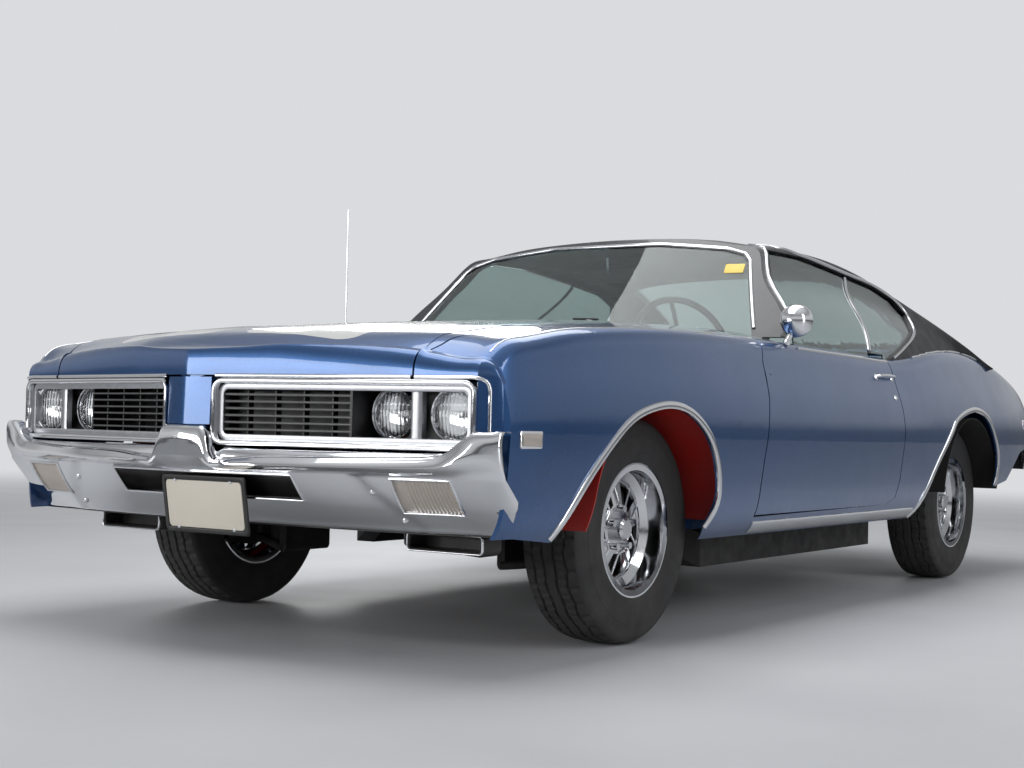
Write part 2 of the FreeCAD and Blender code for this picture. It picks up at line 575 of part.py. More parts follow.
# Side window opening, from the pillar round the quarter glass and back along the belt
WINDOW_SHARES = ((-0.190, 0.985), (-0.1000, 1.302), (0.019, 1.307), (0.179, 1.274), (0.285, 1.250), (0.345, 1.210),
                 (0.371, 1.146), (0.345, 1.074), (0.254, 0.999), (0.174, 0.940), (0.1, 0.90), (-0.214, 0.90))
window_points = [(y * LONG, z * TALL) for y, z in WINDOW_SHARES]
window_hole = side_prism(window_points, -1.1 * WIDE, 1.1 * WIDE)
SCREEN_SHARES = ((0.892, 0.700), (0.770, 0.985), (0.650, 1.245), (0.622, 1.272), (0.540, 1.296), (0.250, 1.326))
screen_left = [(x * WIDE, z * TALL) for x, z in SCREEN_SHARES]


def screen_outline(shrink):
    left = [(x - shrink, z - shrink) for x, z in screen_left]
    return left + [(-x, z) for x, z in reversed(left)]


screen_hole = front_prism(screen_outline(0), -0.40 * LONG, -0.08 * LONG)
BACKLIGHT_SHARES = ((0.610, 0.586), (0.520, 0.300), (0.480, 0.290))
back_left = [(x * WIDE, y * LONG) for x, y in BACKLIGHT_SHARES]


def backlight_plan(shrink):
    left = [(x - shrink, y + (shrink if y < 0.5 * LONG else -shrink)) for x, y in back_left]
    return left + [(-x, y) for x, y in reversed(left)]


back_hole = plan_prism(backlight_plan(0), 0.9 * TALL, 1.5 * TALL)
screen_frame = screen_wall.cut([window_hole, screen_hole, outer])
pillar_foot = block(-1.1 * WIDE, 1.1 * WIDE, -0.250 * LONG, -0.185 * LONG, 0.8 * TALL, 0.992 * TALL)
roof = roof_wall(0, size.roof_wall).common(behind_frame)
roof = roof.cut(window_hole.fuse(pillar_foot)).cut(back_hole).cut(outer)
door_room = block(0.815 * WIDE + GAP / 2, 1.1 * WIDE, -0.32 * LONG, 0, 0.8 * TALL, 0.957 * TALL)
screen_frame = screen_frame.cut(both(door_room))
piece("windshield_frame", max(screen_frame.Solids, key=lambda s: s.Volume))
piece("roof", max(roof.Solids, key=lambda s: s.Volume))

# Glass
depth, sheet_end = size.glass_depth, size.glass_depth + size.glass
screen_glass = behind_screen(depth).cut(behind_screen(sheet_end)).common(dome)
screen_glass = screen_glass.common(front_prism(screen_outline(SEAT), -0.40 * LONG, -0.08 * LONG)).cut(outer)
piece("windshield", max(screen_glass.Solids, key=lambda s: s.Volume))
back_glass = roof_wall(depth, sheet_end)
back_glass = back_glass.common(plan_prism(backlight_plan(SEAT), 0.9 * TALL, 1.5 * TALL)).cut(outer)
piece("rear_window", max(back_glass.Solids, key=lambda s: s.Volume))
side_depth, side_end = size.side_glass_depth, size.side_glass_depth + size.glass
side_glass = roof_wall(side_depth, side_end)

# Doors: the whole wall inside the door outline, with the hinge pockets and the glass slot
door_wall = hull_wall(0, 0, size.door_wall, size.door_top)
door_near = CABIN_SHARES[3][0] * WIDE
hinge_x, hinge_y = size.hinge_track, -size.hinge_ahead
slot = roof_wall(side_depth - SEAT, side_end + SEAT)
door = door_wall.common(side_prism(door_outline(0), door_near, 1.1 * WIDE)).cut(slot)
pin_radius, barrel_radius = size.hinge_pin, size.hinge_barrel
hinge_heights = (size.hinge_low, size.hinge_high)
pins = []
barrels = []
for height in hinge_heights:
    low, high = height - size.hinge_tall / 2, height + size.hinge_tall / 2
    room = size.hinge_room
    pocket_far = hinge_x + barrel_radius + GAP
    door = door.cut(block(0, pocket_far, -0.5 * LONG, hinge_y + room, low - GAP, high + GAP))
    pins.append(rod(Vector(hinge_x, hinge_y, low - GAP - SEAT), Vector(hinge_x, hinge_y, high + GAP + SEAT), pin_radius))
    barrel = rod(Vector(hinge_x, hinge_y, low), Vector(hinge_x, hinge_y, high), barrel_radius)
    arm = block(size.post_track, hinge_x, hinge_y - barrel_radius, hinge_y + barrel_radius, low, high)
    hole = rod(Vector(hinge_x, hinge_y, low - GAP), Vector(hinge_x, hinge_y, high + GAP), pin_radius + SEAT)
    barrels.append(barrel.fuse(arm).cut(hole))
door = joined(door, *pins)
door = max(door.Solids, key=lambda s: s.Volume)
piece("door_left", door)
piece("door_right", mirrored(door))
DOOR_GLASS_SHARES = ((-0.213, 0.864), (-0.186, 0.985), (-0.0970, 1.297), (0.019, 1.301), (0.1765, 1.268),
                     (0.0780, 0.945), (0.0530, 0.864))
glass_points = [(y * LONG, z * TALL) for y, z in DOOR_GLASS_SHARES]
door_glass = side_glass.common(side_prism(glass_points, 0.5 * WIDE, 1.1 * WIDE))
piece("door_glass_left", door_glass)
piece("door_glass_right", mirrored(door_glass))
QUARTER_SHARES = ((0.0800, 0.943), (0.1792, 1.272), (0.1792, 1.4), (0.5, 1.4), (0.5, 0.864), (0.139, 0.864),
                  (0.139, 0.943))
quarter_points = [(y * LONG, z * TALL) for y, z in QUARTER_SHARES]
quarter_glass = side_glass.common(side_prism(quarter_points, 0.5 * WIDE, 1.1 * WIDE)).common(window_hole)
quarter_low = side_glass.common(side_prism(
    [(0.139 * LONG, 0.864 * TALL), (0.139 * LONG, 0.945 * TALL),
     (0.250 * LONG, 0.945 * TALL), (0.250 * LONG, 0.864 * TALL)],
    0.5 * WIDE, 1.1 * WIDE))
quarter_glass = joined(quarter_glass, quarter_low).cut(roof)
piece("quarter_glass", both(max(quarter_glass.Solids, key=lambda s: s.Volume)))
quarter_slot = slot.common(side_prism(
    [(0.1385 * LONG, 0.860 * TALL), (0.1385 * LONG, TALL), (0.2505 * LONG, TALL), (0.2505 * LONG, 0.860 * TALL)],
    -1.1 * WIDE, 1.1 * WIDE))

# Fenders with their closed front ends
nose_band = plan_prism(nose_line + [(x, y + size.skin) for x, y in reversed(nose_line)], 0.447 * TALL, 0.9 * TALL)
nose_caps = core.common(nose_band).cut(block(-0.885 * WIDE, 0.885 * WIDE, -1.1 * LONG, 0, 0, TALL))
whole_fenders = []
for fender, sign in ((fender_left, 1), (fender_right, -1)):
    cap = [s for s in nose_caps.Solids if s.CenterOfMass.x * sign > 0]
    whole = max(joined(fender, *cap).Solids, key=lambda s: s.Volume)
    whole_fenders.append(whole)
    piece("fender_left" if sign > 0 else "fender_right", whole)

# Body shell with its glass slots and the boxed sills
sill = hull_wall(size.skin / 2, size.skin / 2, size.sill_wall, size.sill_wall)
sill = sill.common(side_prism(
    [(-0.372 * LONG, 0.2 * TALL), (-0.372 * LONG, 0.356 * TALL),
     (0.30 * LONG, 0.356 * TALL), (0.30 * LONG, 0.2 * TALL)],
    -1.1 * WIDE, 1.1 * WIDE)).cut([underneath, rear_arches])
shell = joined(shell, *sill.Solids).cut(quarter_slot)
piece("body_shell", max(shell.Solids, key=lambda s: s.Volume))

# Cowl, firewall and door posts
lining = hull_wall(size.skin + SEAT, size.skin + SEAT, size.wide_height, size.wide_height)
cowl_zone = block(-0.815 * WIDE, 0.815 * WIDE, -0.2965 * LONG, -0.186 * LONG, 0.9 * TALL, 1.2 * TALL)
cowl_top = skin.common(cowl_zone).cut(cabin_hole)
firewall = block(-size.post_track, size.post_track, -0.396 * LONG, -0.390 * LONG, 0.31 * TALL, 0.96 * TALL)
firewall = firewall.common(under_lids).cut(block(-size.tunnel_half, size.tunnel_half, -LONG, 0, 0, size.tunnel_top))
post_near = size.post_track - size.post_width
post = block(post_near, size.post_track, -0.390 * LONG, -0.26 * LONG, 0.31 * TALL, 0.905 * TALL)
posts = [post, mirrored(post)]
plenum = block(-size.post_track, size.post_track, -0.396 * LONG, -0.247 * LONG, 0.895 * TALL, 0.905 * TALL)
riser = block(-size.post_track, size.post_track, -0.286 * LONG, -0.280 * LONG, 0.90 * TALL, 0.985 * TALL)
cowl = joined(cowl_top, firewall, plenum, riser.common(under_lids), *posts, *barrels, *[mirrored(b) for b in barrels])
cowl = max(cowl.cut(both(rail_room)).Solids, key=lambda s: s.Volume)
piece("cowl", cowl)

# Front inner fenders and rear wheel houses: arched shells about the axles
def wheel_house(axle, radius, near, low_share):
    tube = rod(Vector(near, axle, TYRE), Vector(0.96 * WIDE, axle, TYRE), radius + size.sheet_metal)
    tube = tube.cut(rod(Vector(near + size.sheet_metal, axle, TYRE), Vector(WIDE, axle, TYRE), radius))
    tube = tube.cut(block(0, WIDE, -LONG, LONG, 0, TYRE * low_share))
    return tube


inner_fender = wheel_house(FRONT, size.front_house, size.apron_track, 1.05).common(lining)
tower_top = size.upper_arm_height + size.arm_height * 2
arm_room = size.arm_spread + GAP
inner_fender = inner_fender.cut(block(0, WIDE, FRONT - arm_room, FRONT + arm_room, 0, tower_top + GAP))
inner_fender = max(inner_fender.Solids, key=lambda s: s.Volume)
piece("inner_fenders", both(inner_fender))
rear_house = wheel_house(REAR, size.rear_house, size.rear_house_track, 1.17).common(lining)
rear_house = max(rear_house.Solids, key=lambda s: s.Volume)

# Grille surround: a rim round each opening and the nose block between them
def surround_plan(x0, x1, front, back):
    inner_x, outer_x = size.nose_half, size.surround_half
    inner_y, outer_y = -size.nose_reach, -size.surround_reach

    def line(x):
        return inner_y + (outer_y - inner_y) * (x - inner_x) / (outer_x - inner_x)

    return [(x0, line(x0) + front), (x1, line(x1) + front), (x1, line(x1) + back), (x0, line(x0) + back)]


rim = size.surround_rim
low, high = size.grille_bottom, size.grille_top
frame_block = plan_prism(surround_plan(size.nose_half, size.surround_half, 0, size.surround_deep), low, high)
opening_plan = surround_plan(
    size.nose_half + rim, size.surround_half - rim * 0.4, -OVER, size.surround_deep + OVER)
opening = plan_prism(opening_plan, low + rim, high - rim)
frame_half = frame_block.cut(opening)
nose_left = [(size.nose_half * 0.6, -size.nose_tip), (size.nose_half, -size.nose_reach),
             (size.nose_half, -size.nose_reach + size.surround_deep)]
nose_points = [(-x, y) for x, y in reversed(nose_left)] + nose_left
nose_block = plan_prism(nose_points, size.bumper_top + size.nose_seat, high)
surround = joined(frame_half, mirrored(frame_half), nose_block)
surround = surround.cut([hood.translated(Vector(0, 0, -GAP)), hood.translated(Vector(0, GAP, -GAP))])
piece("grille_surround", max(surround.Solids, key=lambda s: s.Volume))

# Grille bars in front of a black back plate
lamp_start = size.lamp_inner - size.lamp_bezel - GAP
plate_line = [(size.nose_half + rim, -size.nose_reach + size.grille_deep), (lamp_start, -size.lamp_back),
              (size.surround_half - rim, -size.lamp_back)]
back_plan = plate_line + [(x, y + rim / 2) for x, y in reversed(plate_line)]
plate = plan_prism(back_plan, low + rim, high - rim)
bars = []
count = int(size.bar_count)
pitch = (high - low - 2 * rim) / count
for k in range(count):
    z = low + rim + pitch * (k + 0.5)
    bar_plan = surround_plan(size.nose_half + rim, lamp_start, size.bar_back, size.bar_back + size.bar_deep)
    bars.append(plan_prism(bar_plan, z - size.bar_tall / 2, z + size.bar_tall / 2))
web_plan = surround_plan(size.nose_half + rim, size.nose_half + rim * 1.5, size.bar_back, size.grille_deep + rim / 4)
webs = [plan_prism(web_plan, low + rim, high - rim)]
web_end = surround_plan(lamp_start - rim / 2, lamp_start, size.bar_back, size.surround_deep)
web_back = [(lamp_start, -size.lamp_back + rim / 4), (lamp_start - rim / 2, -size.lamp_back + rim / 4)]
webs.append(plan_prism(web_end[:2] + web_back, low + rim, high - rim))
grille_half = joined(plate, *bars, *webs)
grille_half = grille_half.cut(frame_half)
piece("grilles", both(max(grille_half.Solids, key=lambda s: s.Volume)))

# Headlamps: a bezel ring and a domed lens
def headlamp(x):
    back, face, height = -size.lamp_back - SEAT, -size.lamp_face, size.lamp_height
    bezel = rod(Vector(x, back, height), Vector(x, face, height), size.lamp_bezel)
    dish = rod(Vector(x, face + size.lamp_dish, height), Vector(x, face - OVER, height), size.lamp_radius)
    dome_radius = size.lamp_radius ** 2 / (2 * size.lamp_bulge) + size.lamp_bulge / 2
    ball = Part.makeSphere(dome_radius, Vector(x, face + size.lamp_dish - size.lamp_bulge + dome_radius, height))
    return joined(bezel.cut(dish), ball.common(dish))


lamps = [headlamp(x) for x in (size.lamp_inner, size.lamp_outer)]
piece("headlamps", Part.makeCompound(lamps + [mirrored(lamp) for lamp in lamps]))

# Front bumper: a heavy blade round the nose, whose lower face runs back to its lip
BUMPER_SHARES = ((0, -1), (0.414, -0.9925), (0.698, -0.9635), (0.905, -0.940), (0.958, -0.910), (0.962, -0.895))
CREASE_SHARES = ((0, -0.984), (0.348, -0.972), (0.550, -0.957), (0.820, -0.938), (0.935, -0.915), (0.945, -0.895))
LIP_SHARES = ((0, -0.914), (0.348, -0.909), (0.610, -0.900), (0.800, -0.880), (0.890, -0.872), (0.900, -0.860))


def blade_ring(line, depth, height):
    left = [(x * WIDE, y * LONG) for x, y in line]
    full = [(-x, y) for x, y in reversed(left[1:])] + left
    curve = Part.BSplineCurve()
    curve.interpolate([Vector(x, y, height) for x, y in full])
    back = Part.BSplineCurve()
    way = -math.copysign(depth, line[0][1])
    inside = []
    for x, y in full:
        inward = math.copysign(depth * min(1, abs(x) / WIDE) ** 4, x)
        inside.append((x - inward, y + way * (1 - 0.9 * (abs(x) / WIDE) ** 8)))
    back.interpolate([Vector(x, y, height) for x, y in inside])
    a, b = curve.toShape(), back.toShape()
    left_end = Part.LineSegment(curve.EndPoint, back.EndPoint).toShape()
    right_end = Part.LineSegment(back.StartPoint, curve.StartPoint).toShape()
    return Part.Wire([a, left_end, b, right_end])


def blade(line, depth, low, high):
    return Part.Face(blade_ring(line, depth, low)).extrude(Vector(0, 0, high - low))


length_room = block(-WIDE, WIDE, -LONG, LONG, 0, TALL)
bumper_form = Part.makeLoft([
    blade_ring(LIP_SHARES, size.bumper_deep, size.bumper_bottom),
    blade_ring(CREASE_SHARES, size.bumper_deep, size.bumper_crease),
    blade_ring(BUMPER_SHARES, size.bumper_deep, size.bumper_roll),
    blade_ring(BUMPER_SHARES, size.bumper_deep, size.bumper_top)], True, True)
END_SHARES = ((-0.931, 0.70), (-0.925, 0.503), (-0.900, 0.436), (-0.905, 0.30), (-0.70, 0.30), (-0.70, 0.70))
bumper_end = both(side_prism([(y * LONG, z * TALL) for y, z in END_SHARES], 0.85 * WIDE, 1.1 * WIDE))
bumper_form = bumper_form.cut(whole_fenders).common(length_room).cut(bumper_end)
stay = runner([(track, y * LONG, z * TALL) for track, y, z in
               ((size.front_rail_track, -0.925, 0.405), (size.front_rail_track, RAIL_SHARES[0][0], 0.405))],
              size.bumper_stay, size.bumper_stay)
DIP_SHARES = ((0.125, 1), (0.160, 0.80), (0.62, 0.74), (0.86, 0.90), (0.93, 1))
dip = [(x * WIDE, size.bumper_bottom + (size.bumper_top - size.bumper_bottom) * z) for x, z in DIP_SHARES]
dip_hole = front_prism(dip + [(dip[-1][0], TALL), (dip[0][0], TALL)], -1.1 * LONG, -0.5 * LONG)
SLOT_SHARES = ((0.348, 0.490), (0.348, 0.422))
slot_points = [(x * WIDE, z * TALL) for x, z in SLOT_SHARES]
slot_hole = front_prism(slot_points + [(-x, z) for x, z in reversed(slot_points)], -1.1 * LONG, -0.5 * LONG)
TURN_SHARES = ((0.653, 0.489), (0.822, 0.489), (0.817, 0.402), (0.654, 0.402))


def turn_prism(shrink, near, far):
    points = [(x * WIDE, z * TALL) for x, z in TURN_SHARES]
    middle = Vector(sum(x for x, z in points) / 4, 0, sum(z for x, z in points) / 4)
    points = [(x + math.copysign(shrink, middle.x - x), z + math.copysign(shrink, middle.z - z)) for x, z in points]
    return front_prism(points, near, far)


bumper = bumper_form.cut([dip_hole, mirrored(dip_hole), slot_hole, both(turn_prism(0, -1.1 * LONG, -0.5 * LONG))])
bumper = joined(max(bumper.Solids, key=lambda s: s.Volume), stay, mirrored(stay)).cut(frame)
piece("front_bumper", max(bumper.Solids, key=lambda s: s.Volume))
turn_lamp = bumper_form.common(turn_prism(SEAT, -1.1 * LONG, -0.5 * LONG))
piece("turn_lamps", both(turn_lamp))

# Lower valance with the two air scoops under it, and the plate
valance = block(-size.valance_half, size.valance_half, -size.valance_front, -size.valance_back,
                size.bumper_bottom - size.sheet_metal, size.bumper_bottom)
valance = valance.cut([front_arches, bumper_form])
valance = max(valance.Solids, key=lambda s: s.Volume)


def scoop(sign):
    near, far = size.scoop_near, size.scoop_far
    top = size.bumper_bottom - size.sheet_metal
    wall = size.scoop_wall
    body = block(near, far, -size.scoop_front, -size.valance_back, size.scoop_bottom, top)
    mouth = block(near + wall, far - wall, -size.scoop_front - OVER, -size.valance_back - wall,
                  size.scoop_bottom + wall, top - wall)
    body = body.cut(mouth)
    return body if sign > 0 else mirrored(body)


piece("front_valance", joined(valance, scoop(1), scoop(-1)))

# Radiator and its support, between the frame horns
rail_top = RAIL_SHARES[0][1] * TALL + size.rail_height / 2 + SEAT
radiator_back = -size.radiator_front + size.radiator_deep
radiator = block(-size.radiator_half, size.radiator_half, -size.radiator_front, radiator_back,
                 rail_top, size.radiator_top)
support = block(-size.support_half, size.support_half, radiator_back, radiator_back + size.sheet_metal,
                rail_top, size.radiator_top)
ties = block(-size.surround_half, size.surround_half, -size.lamp_back + rim / 2 + SEAT, radiator_back,
             size.radiator_top - rim, size.radiator_top)
ties = ties.cut(block(-size.radiator_half - OVER, size.radiator_half + OVER, -LONG, -size.radiator_front, 0, TALL))
radiator = joined(radiator, support, ties).cut(front_arches)
piece("radiator", max(radiator.Solids, key=lambda s: s.Volume))

# Rear bumper with the tail lamps above it
REAR_BUMPER_SHARES = ((0, 1), (0.45, 0.992), (0.78, 0.962), (0.900, 0.935), (0.948, 0.900), (0.955, 0.870))
rear_bumper = blade(REAR_BUMPER_SHARES, size.bumper_deep, size.rear_bumper_bottom, size.rear_bumper_top)
rear_bumper = rear_bumper.cut(shell)
piece("rear_bumper", max(rear_bumper.Solids, key=lambda s: s.Volume))


def tail_lamp(x):
    low, high = size.tail_bottom, size.tail_top
    zone = block(x, x + size.tail_wide, 0.8 * LONG, 1.1 * LONG, low, high)
    near_line = [(a, b + SEAT) for a, b in tail_line]
    far_line = [(a, b + size.tail_deep) for a, b in reversed(tail_line)]
    return plan_prism(near_line + far_line, low, high).common(zone)


tails = [tail_lamp(x) for x in (size.tail_near, size.tail_near + size.tail_wide + rim)]
piece("tail_lamps", Part.makeCompound(tails + [mirrored(lamp) for lamp in tails]))

# Floor, from the toe board over the tunnel to the trunk
FLOOR_SHARES = ((-0.388, 0.50, 0.70), (-0.350, 0.300, 0.70), (0.215, 0.300, 0.70), (0.290, 0.565, 0.595),
                (0.930, 0.565, 0.595))
floor_wires = []
for y, z, x in FLOOR_SHARES:
    a, b = x * WIDE, size.sheet_metal / 2
    ring = [Vector(-a, y * LONG, z * TALL - b), Vector(a, y * LONG, z * TALL - b),
            Vector(a, y * LONG, z * TALL + b), Vector(-a, y * LONG, z * TALL + b)]
    floor_wires.append(Part.makePolygon(ring + ring[:1]))
floor = Part.makeLoft(floor_wires, True, True)
tunnel_out = block(-size.tunnel_half, size.tunnel_half, -0.380 * LONG, 0.235 * LONG, 0, size.tunnel_top)
wall = size.sheet_metal
tunnel_in = block(-size.tunnel_half + wall, size.tunnel_half - wall, -0.5 * LONG, 0.5 * LONG, 0, size.tunnel_top - wall)
tunnel = tunnel_out.cut(tunnel_in).cut(block(-WIDE, WIDE, -LONG, LONG, 0, 0.298 * TALL))
floor = floor.cut(tunnel_in.common(tunnel_out))
shelf = block(-size.shelf_half, size.shelf_half, 0.452 * LONG, 0.585 * LONG, 0.945 * TALL, 0.955 * TALL)
bulkhead = block(-size.shelf_half, size.shelf_half, 0.452 * LONG, 0.456 * LONG, 0.566 * TALL, 0.955 * TALL)
rear_houses = [rear_house, mirrored(rear_house)]
house_room = both(rod(Vector(size.rear_house_track, REAR, TYRE), Vector(WIDE, REAR, TYRE), size.rear_house))
bulkhead = bulkhead.cut([shell, house_room])
floor_pan = joined(floor, tunnel, *rear_houses, shelf.cut(shell), bulkhead).cut(cowl)
piece("floor_pan", max(floor_pan.Solids, key=lambda s: s.Volume))

# Engine, gearbox and drive shaft
engine = block(-size.engine_half, size.engine_half, -size.engine_front, -size.engine_back,
               size.engine_bottom, size.engine_top)
gearbox = runner([(0, -size.engine_back, size.shaft_height), (0, -size.gearbox_back, size.shaft_height)],
                 size.gearbox_wide, size.gearbox_wide)
piece("engine_block", engine)
shaft_end = Vector(0, REAR - size.carrier_length / 2, TYRE)
shaft = rod(Vector(0, -size.gearbox_back, size.shaft_height), shaft_end, size.shaft_radius)
piece("gearbox_and_shaft", joined(gearbox.cut(engine), shaft))

# Rear axle with its drums, springs and arms
def on_axle(x, axle):
    """The point at an axle's height and place, at a distance to the left."""
    return Vector(x, axle, TYRE)


drum_inside, stub_end = size.drum_track - size.drum_width, size.drum_track + size.stub_length
axle = rod(on_axle(-size.drum_track, REAR), on_axle(size.drum_track, REAR), size.axle_radius)
carrier = rod(on_axle(-size.carrier_length / 2, REAR), on_axle(size.carrier_length / 2, REAR), size.carrier_radius)
nose = rod(shaft_end, on_axle(0, REAR), size.shaft_radius * 1.6)
drum = rod(on_axle(drum_inside, REAR), on_axle(size.drum_track, REAR), size.drum_radius)
stub = rod(on_axle(size.drum_track, REAR), on_axle(stub_end, REAR), size.spindle_radius)
spring_track, arm_height = size.rear_rail_track - size.spring_inset, TYRE - size.axle_radius
rear_spring = rod(on_axle(spring_track, REAR), Vector(spring_track, REAR, 0.425 * TALL), size.spring_radius)
arm = runner([(spring_track, REAR, arm_height),
              (size.side_rail_track - size.spring_inset * 2, 0.27 * LONG, arm_height)], size.arm_width, size.arm_width)
rear_half = joined(drum, stub, rear_spring, arm)
rear_axle = joined(axle, carrier, nose, rear_half, mirrored(rear_half)).cut([shaft, frame])
piece("rear_axle", max(rear_axle.Solids, key=lambda s: s.Volume))

# Front suspension: two arms a side with a spring between them
def wishbone(height, ball_height):
    ball = Vector(size.steer_axis, FRONT, ball_height)
    arms = [Part.makeSphere(size.ball_radius, ball)]
    pivots = [Vector(size.pivot_track, FRONT + sign * size.arm_spread, height) for sign in (-1, 1)]
    arms += [rod(pivot, ball, size.arm_height / 2) for pivot in pivots]
    arms.append(rod(pivots[0], pivots[1], size.arm_height / 2))
    return joined(*arms)


lower_ball, upper_ball = size.lower_arm_height + size.ball_radius, size.upper_arm_height
coil_low = Vector(size.coil_track, FRONT, size.lower_arm_height + size.arm_height / 2)
coil_high = Vector(size.coil_track, FRONT, size.upper_arm_height + size.arm_height)
coil = rod(coil_low, coil_high, size.spring_radius)
rail_face = size.front_rail_track + size.rail_width / 2 + SEAT
tower = block(rail_face, size.coil_track + size.spring_radius, FRONT - size.arm_spread, FRONT + size.arm_spread,
              coil_high.z, coil_high.z + size.arm_height)
leg = block(rail_face, size.pivot_track + size.arm_height / 2, FRONT - size.arm_spread, FRONT + size.arm_spread,
            size.lower_arm_height, coil_high.z + size.arm_height)
suspension = joined(wishbone(size.lower_arm_height, lower_ball), wishbone(size.upper_arm_height, upper_ball), coil, tower, leg)
piece("front_suspension", both(max(suspension.Solids, key=lambda s: s.Volume)))

# Steering knuckles with their drums and spindles
post_low, post_high = lower_ball + size.ball_radius + SEAT, upper_ball - size.ball_radius - SEAT
knuckle = joined(
    rod(Vector(size.steer_axis, FRONT, post_low), Vector(size.steer_axis, FRONT, post_high), size.ball_radius),
    rod(on_axle(size.steer_axis, FRONT), on_axle(size.drum_track, FRONT), size.spindle_radius * 2),
    rod(on_axle(drum_inside, FRONT), on_axle(size.drum_track, FRONT), size.drum_radius),
    rod(on_axle(size.drum_track, FRONT), on_axle(stub_end, FRONT), size.spindle_radius))
piece("knuckle_left", knuckle)
piece("knuckle_right", mirrored(knuckle))

# Exhaust: twin pipes with a silencer each
EXHAUST_SHARES = ((0.215, -0.490, 0.235), (0.215, -0.330, 0.172), (0.300, -0.020, 0.172), (0.300, 0.400, 0.172),
                  (0.330, 0.480, 0.418), (0.330, 0.560, 0.418), (0.476, 0.680, 0.360), (0.476, 0.975, 0.360))
spots = [Vector(x * WIDE, y * LONG, z * TALL) for x, y, z in EXHAUST_SHARES]
spots.insert(0, Vector(spots[0].x, spots[0].y, size.engine_bottom - SEAT))
pipe = mitred_pipe(spots, size.pipe_radius)
silencer_ends = [Vector(spots[3].x, y * LONG, spots[3].z) for y in (0.030, 0.230)]
silencer = rod(silencer_ends[0], silencer_ends[1], size.silencer_radius)
exhaust = joined(silencer, pipe)
piece("exhaust", both(exhaust))
tank = block(-size.tank_half, size.tank_half, size.tank_front, size.tank_back, size.tank_bottom, size.tank_top)
piece("fuel_tank", tank.cut([frame, both(exhaust)]))

# Dashboard, seats and parcel shelf
DASH_SHARES = ((-0.232, 0.914), (-0.180, 0.920), (-0.168, 0.895), (-0.175, 0.78), (-0.190, 0.66),
               (-0.245, 0.64), (-0.245, 0.914))
dash = side_prism([(y * LONG, z * TALL) for y, z in DASH_SHARES], -size.dash_half, size.dash_half)
tail_floor = 0.302 * TALL + SEAT


def seat(x0, x1, points):
    return side_prism([(y * LONG, z * TALL) for y, z in points], x0, x1)


FRONT_SEAT_SHARES = ((-0.070, 0.3025), (-0.080, 0.500), (-0.060, 0.545), (0.080, 0.500), (0.128, 0.900),
                     (0.140, 0.930), (0.165, 0.920), (0.130, 0.3025))
REAR_SEAT_SHARES = ((0.190, 0.330), (0.195, 0.600), (0.215, 0.640), (0.350, 0.600), (0.415, 0.930),
                    (0.450, 0.940), (0.450, 0.570), (0.300, 0.570), (0.200, 0.3600))
front_seat = seat(size.seat_near, size.seat_far, FRONT_SEAT_SHARES)
front_seat = front_seat.cut(block(0, WIDE, -LONG, LONG, 0, tail_floor))
piece("front_seats", both(front_seat))
rear_seat = seat(-size.rear_seat_half, size.rear_seat_half, REAR_SEAT_SHARES)
rear_seat = rear_seat.cut([floor_pan, tunnel_out]).common(block(-WIDE, WIDE, 0, LONG, 0.305 * TALL, TALL))
piece("rear_seat", max(rear_seat.Solids, key=lambda s: s.Volume))

# Steering column and wheel, on an axis that rises to the driver
column_way = Vector(0, math.cos(math.radians(size.column_angle)), math.sin(math.radians(size.column_angle)))
hub_place = Vector(size.driver_track, -size.wheel_ahead, size.wheel_height)
column = rod(hub_place - column_way * size.column_length, hub_place - column_way * SEAT, size.column_radius)
piece("dashboard", joined(dash, column))
ring = Part.makeTorus(size.grip_radius, size.grip_thick, hub_place, column_way)
boss = rod(hub_place, hub_place + column_way * size.grip_thick * 3, size.column_radius)
spokes = [rod(hub_place + column_way * size.grip_thick, hub_place + way * size.grip_radius, size.grip_thick * 0.7)
          for way in (Vector(1, 0, 0), Vector(-1, 0, 0), column_way.cross(Vector(1, 0, 0)) * -1)]
piece("steering_wheel", joined(ring, boss, *spokes))

# Door mirror: a round chrome head on a foot
mirror_at = Vector(size.mirror_track, -size.mirror_ahead, size.mirror_height)
head = Part.makeCone(size.mirror_radius * 0.62, size.mirror_radius, size.mirror_deep, mirror_at, Vector(0, 1, 0))
foot_top = mirror_at + Vector(0, size.mirror_deep / 2, -size.mirror_radius / 2)
foot = rod(Vector(size.mirror_foot, foot_top.y, size.belt_height - OVER), foot_top, size.mirror_stem)
mirror = joined(head, foot).cut(door)
piece("door_mirror", max(mirror.Solids, key=lambda s: s.Volume))

# Antenna on the right front fender
antenna_foot = Vector(-size.antenna_track, -size.antenna_ahead, 0.85 * TALL)
antenna = rod(antenna_foot, antenna_foot + Vector(0, 0, size.antenna_top - 0.85 * TALL), size.antenna_radius)
piece("antenna", max(antenna.cut(outer).Solids, key=lambda s: s.CenterOfMass.z))


# Wheels and tyres, each drawn from its inboard side outwards
def cell(name):
    return float(sheet.get(name))


def signed(name):
    """A named size, or less than nothing by as much where the name has a minus before it."""
    return -cell(name[1:]) if name.startswith("-") else cell(name)


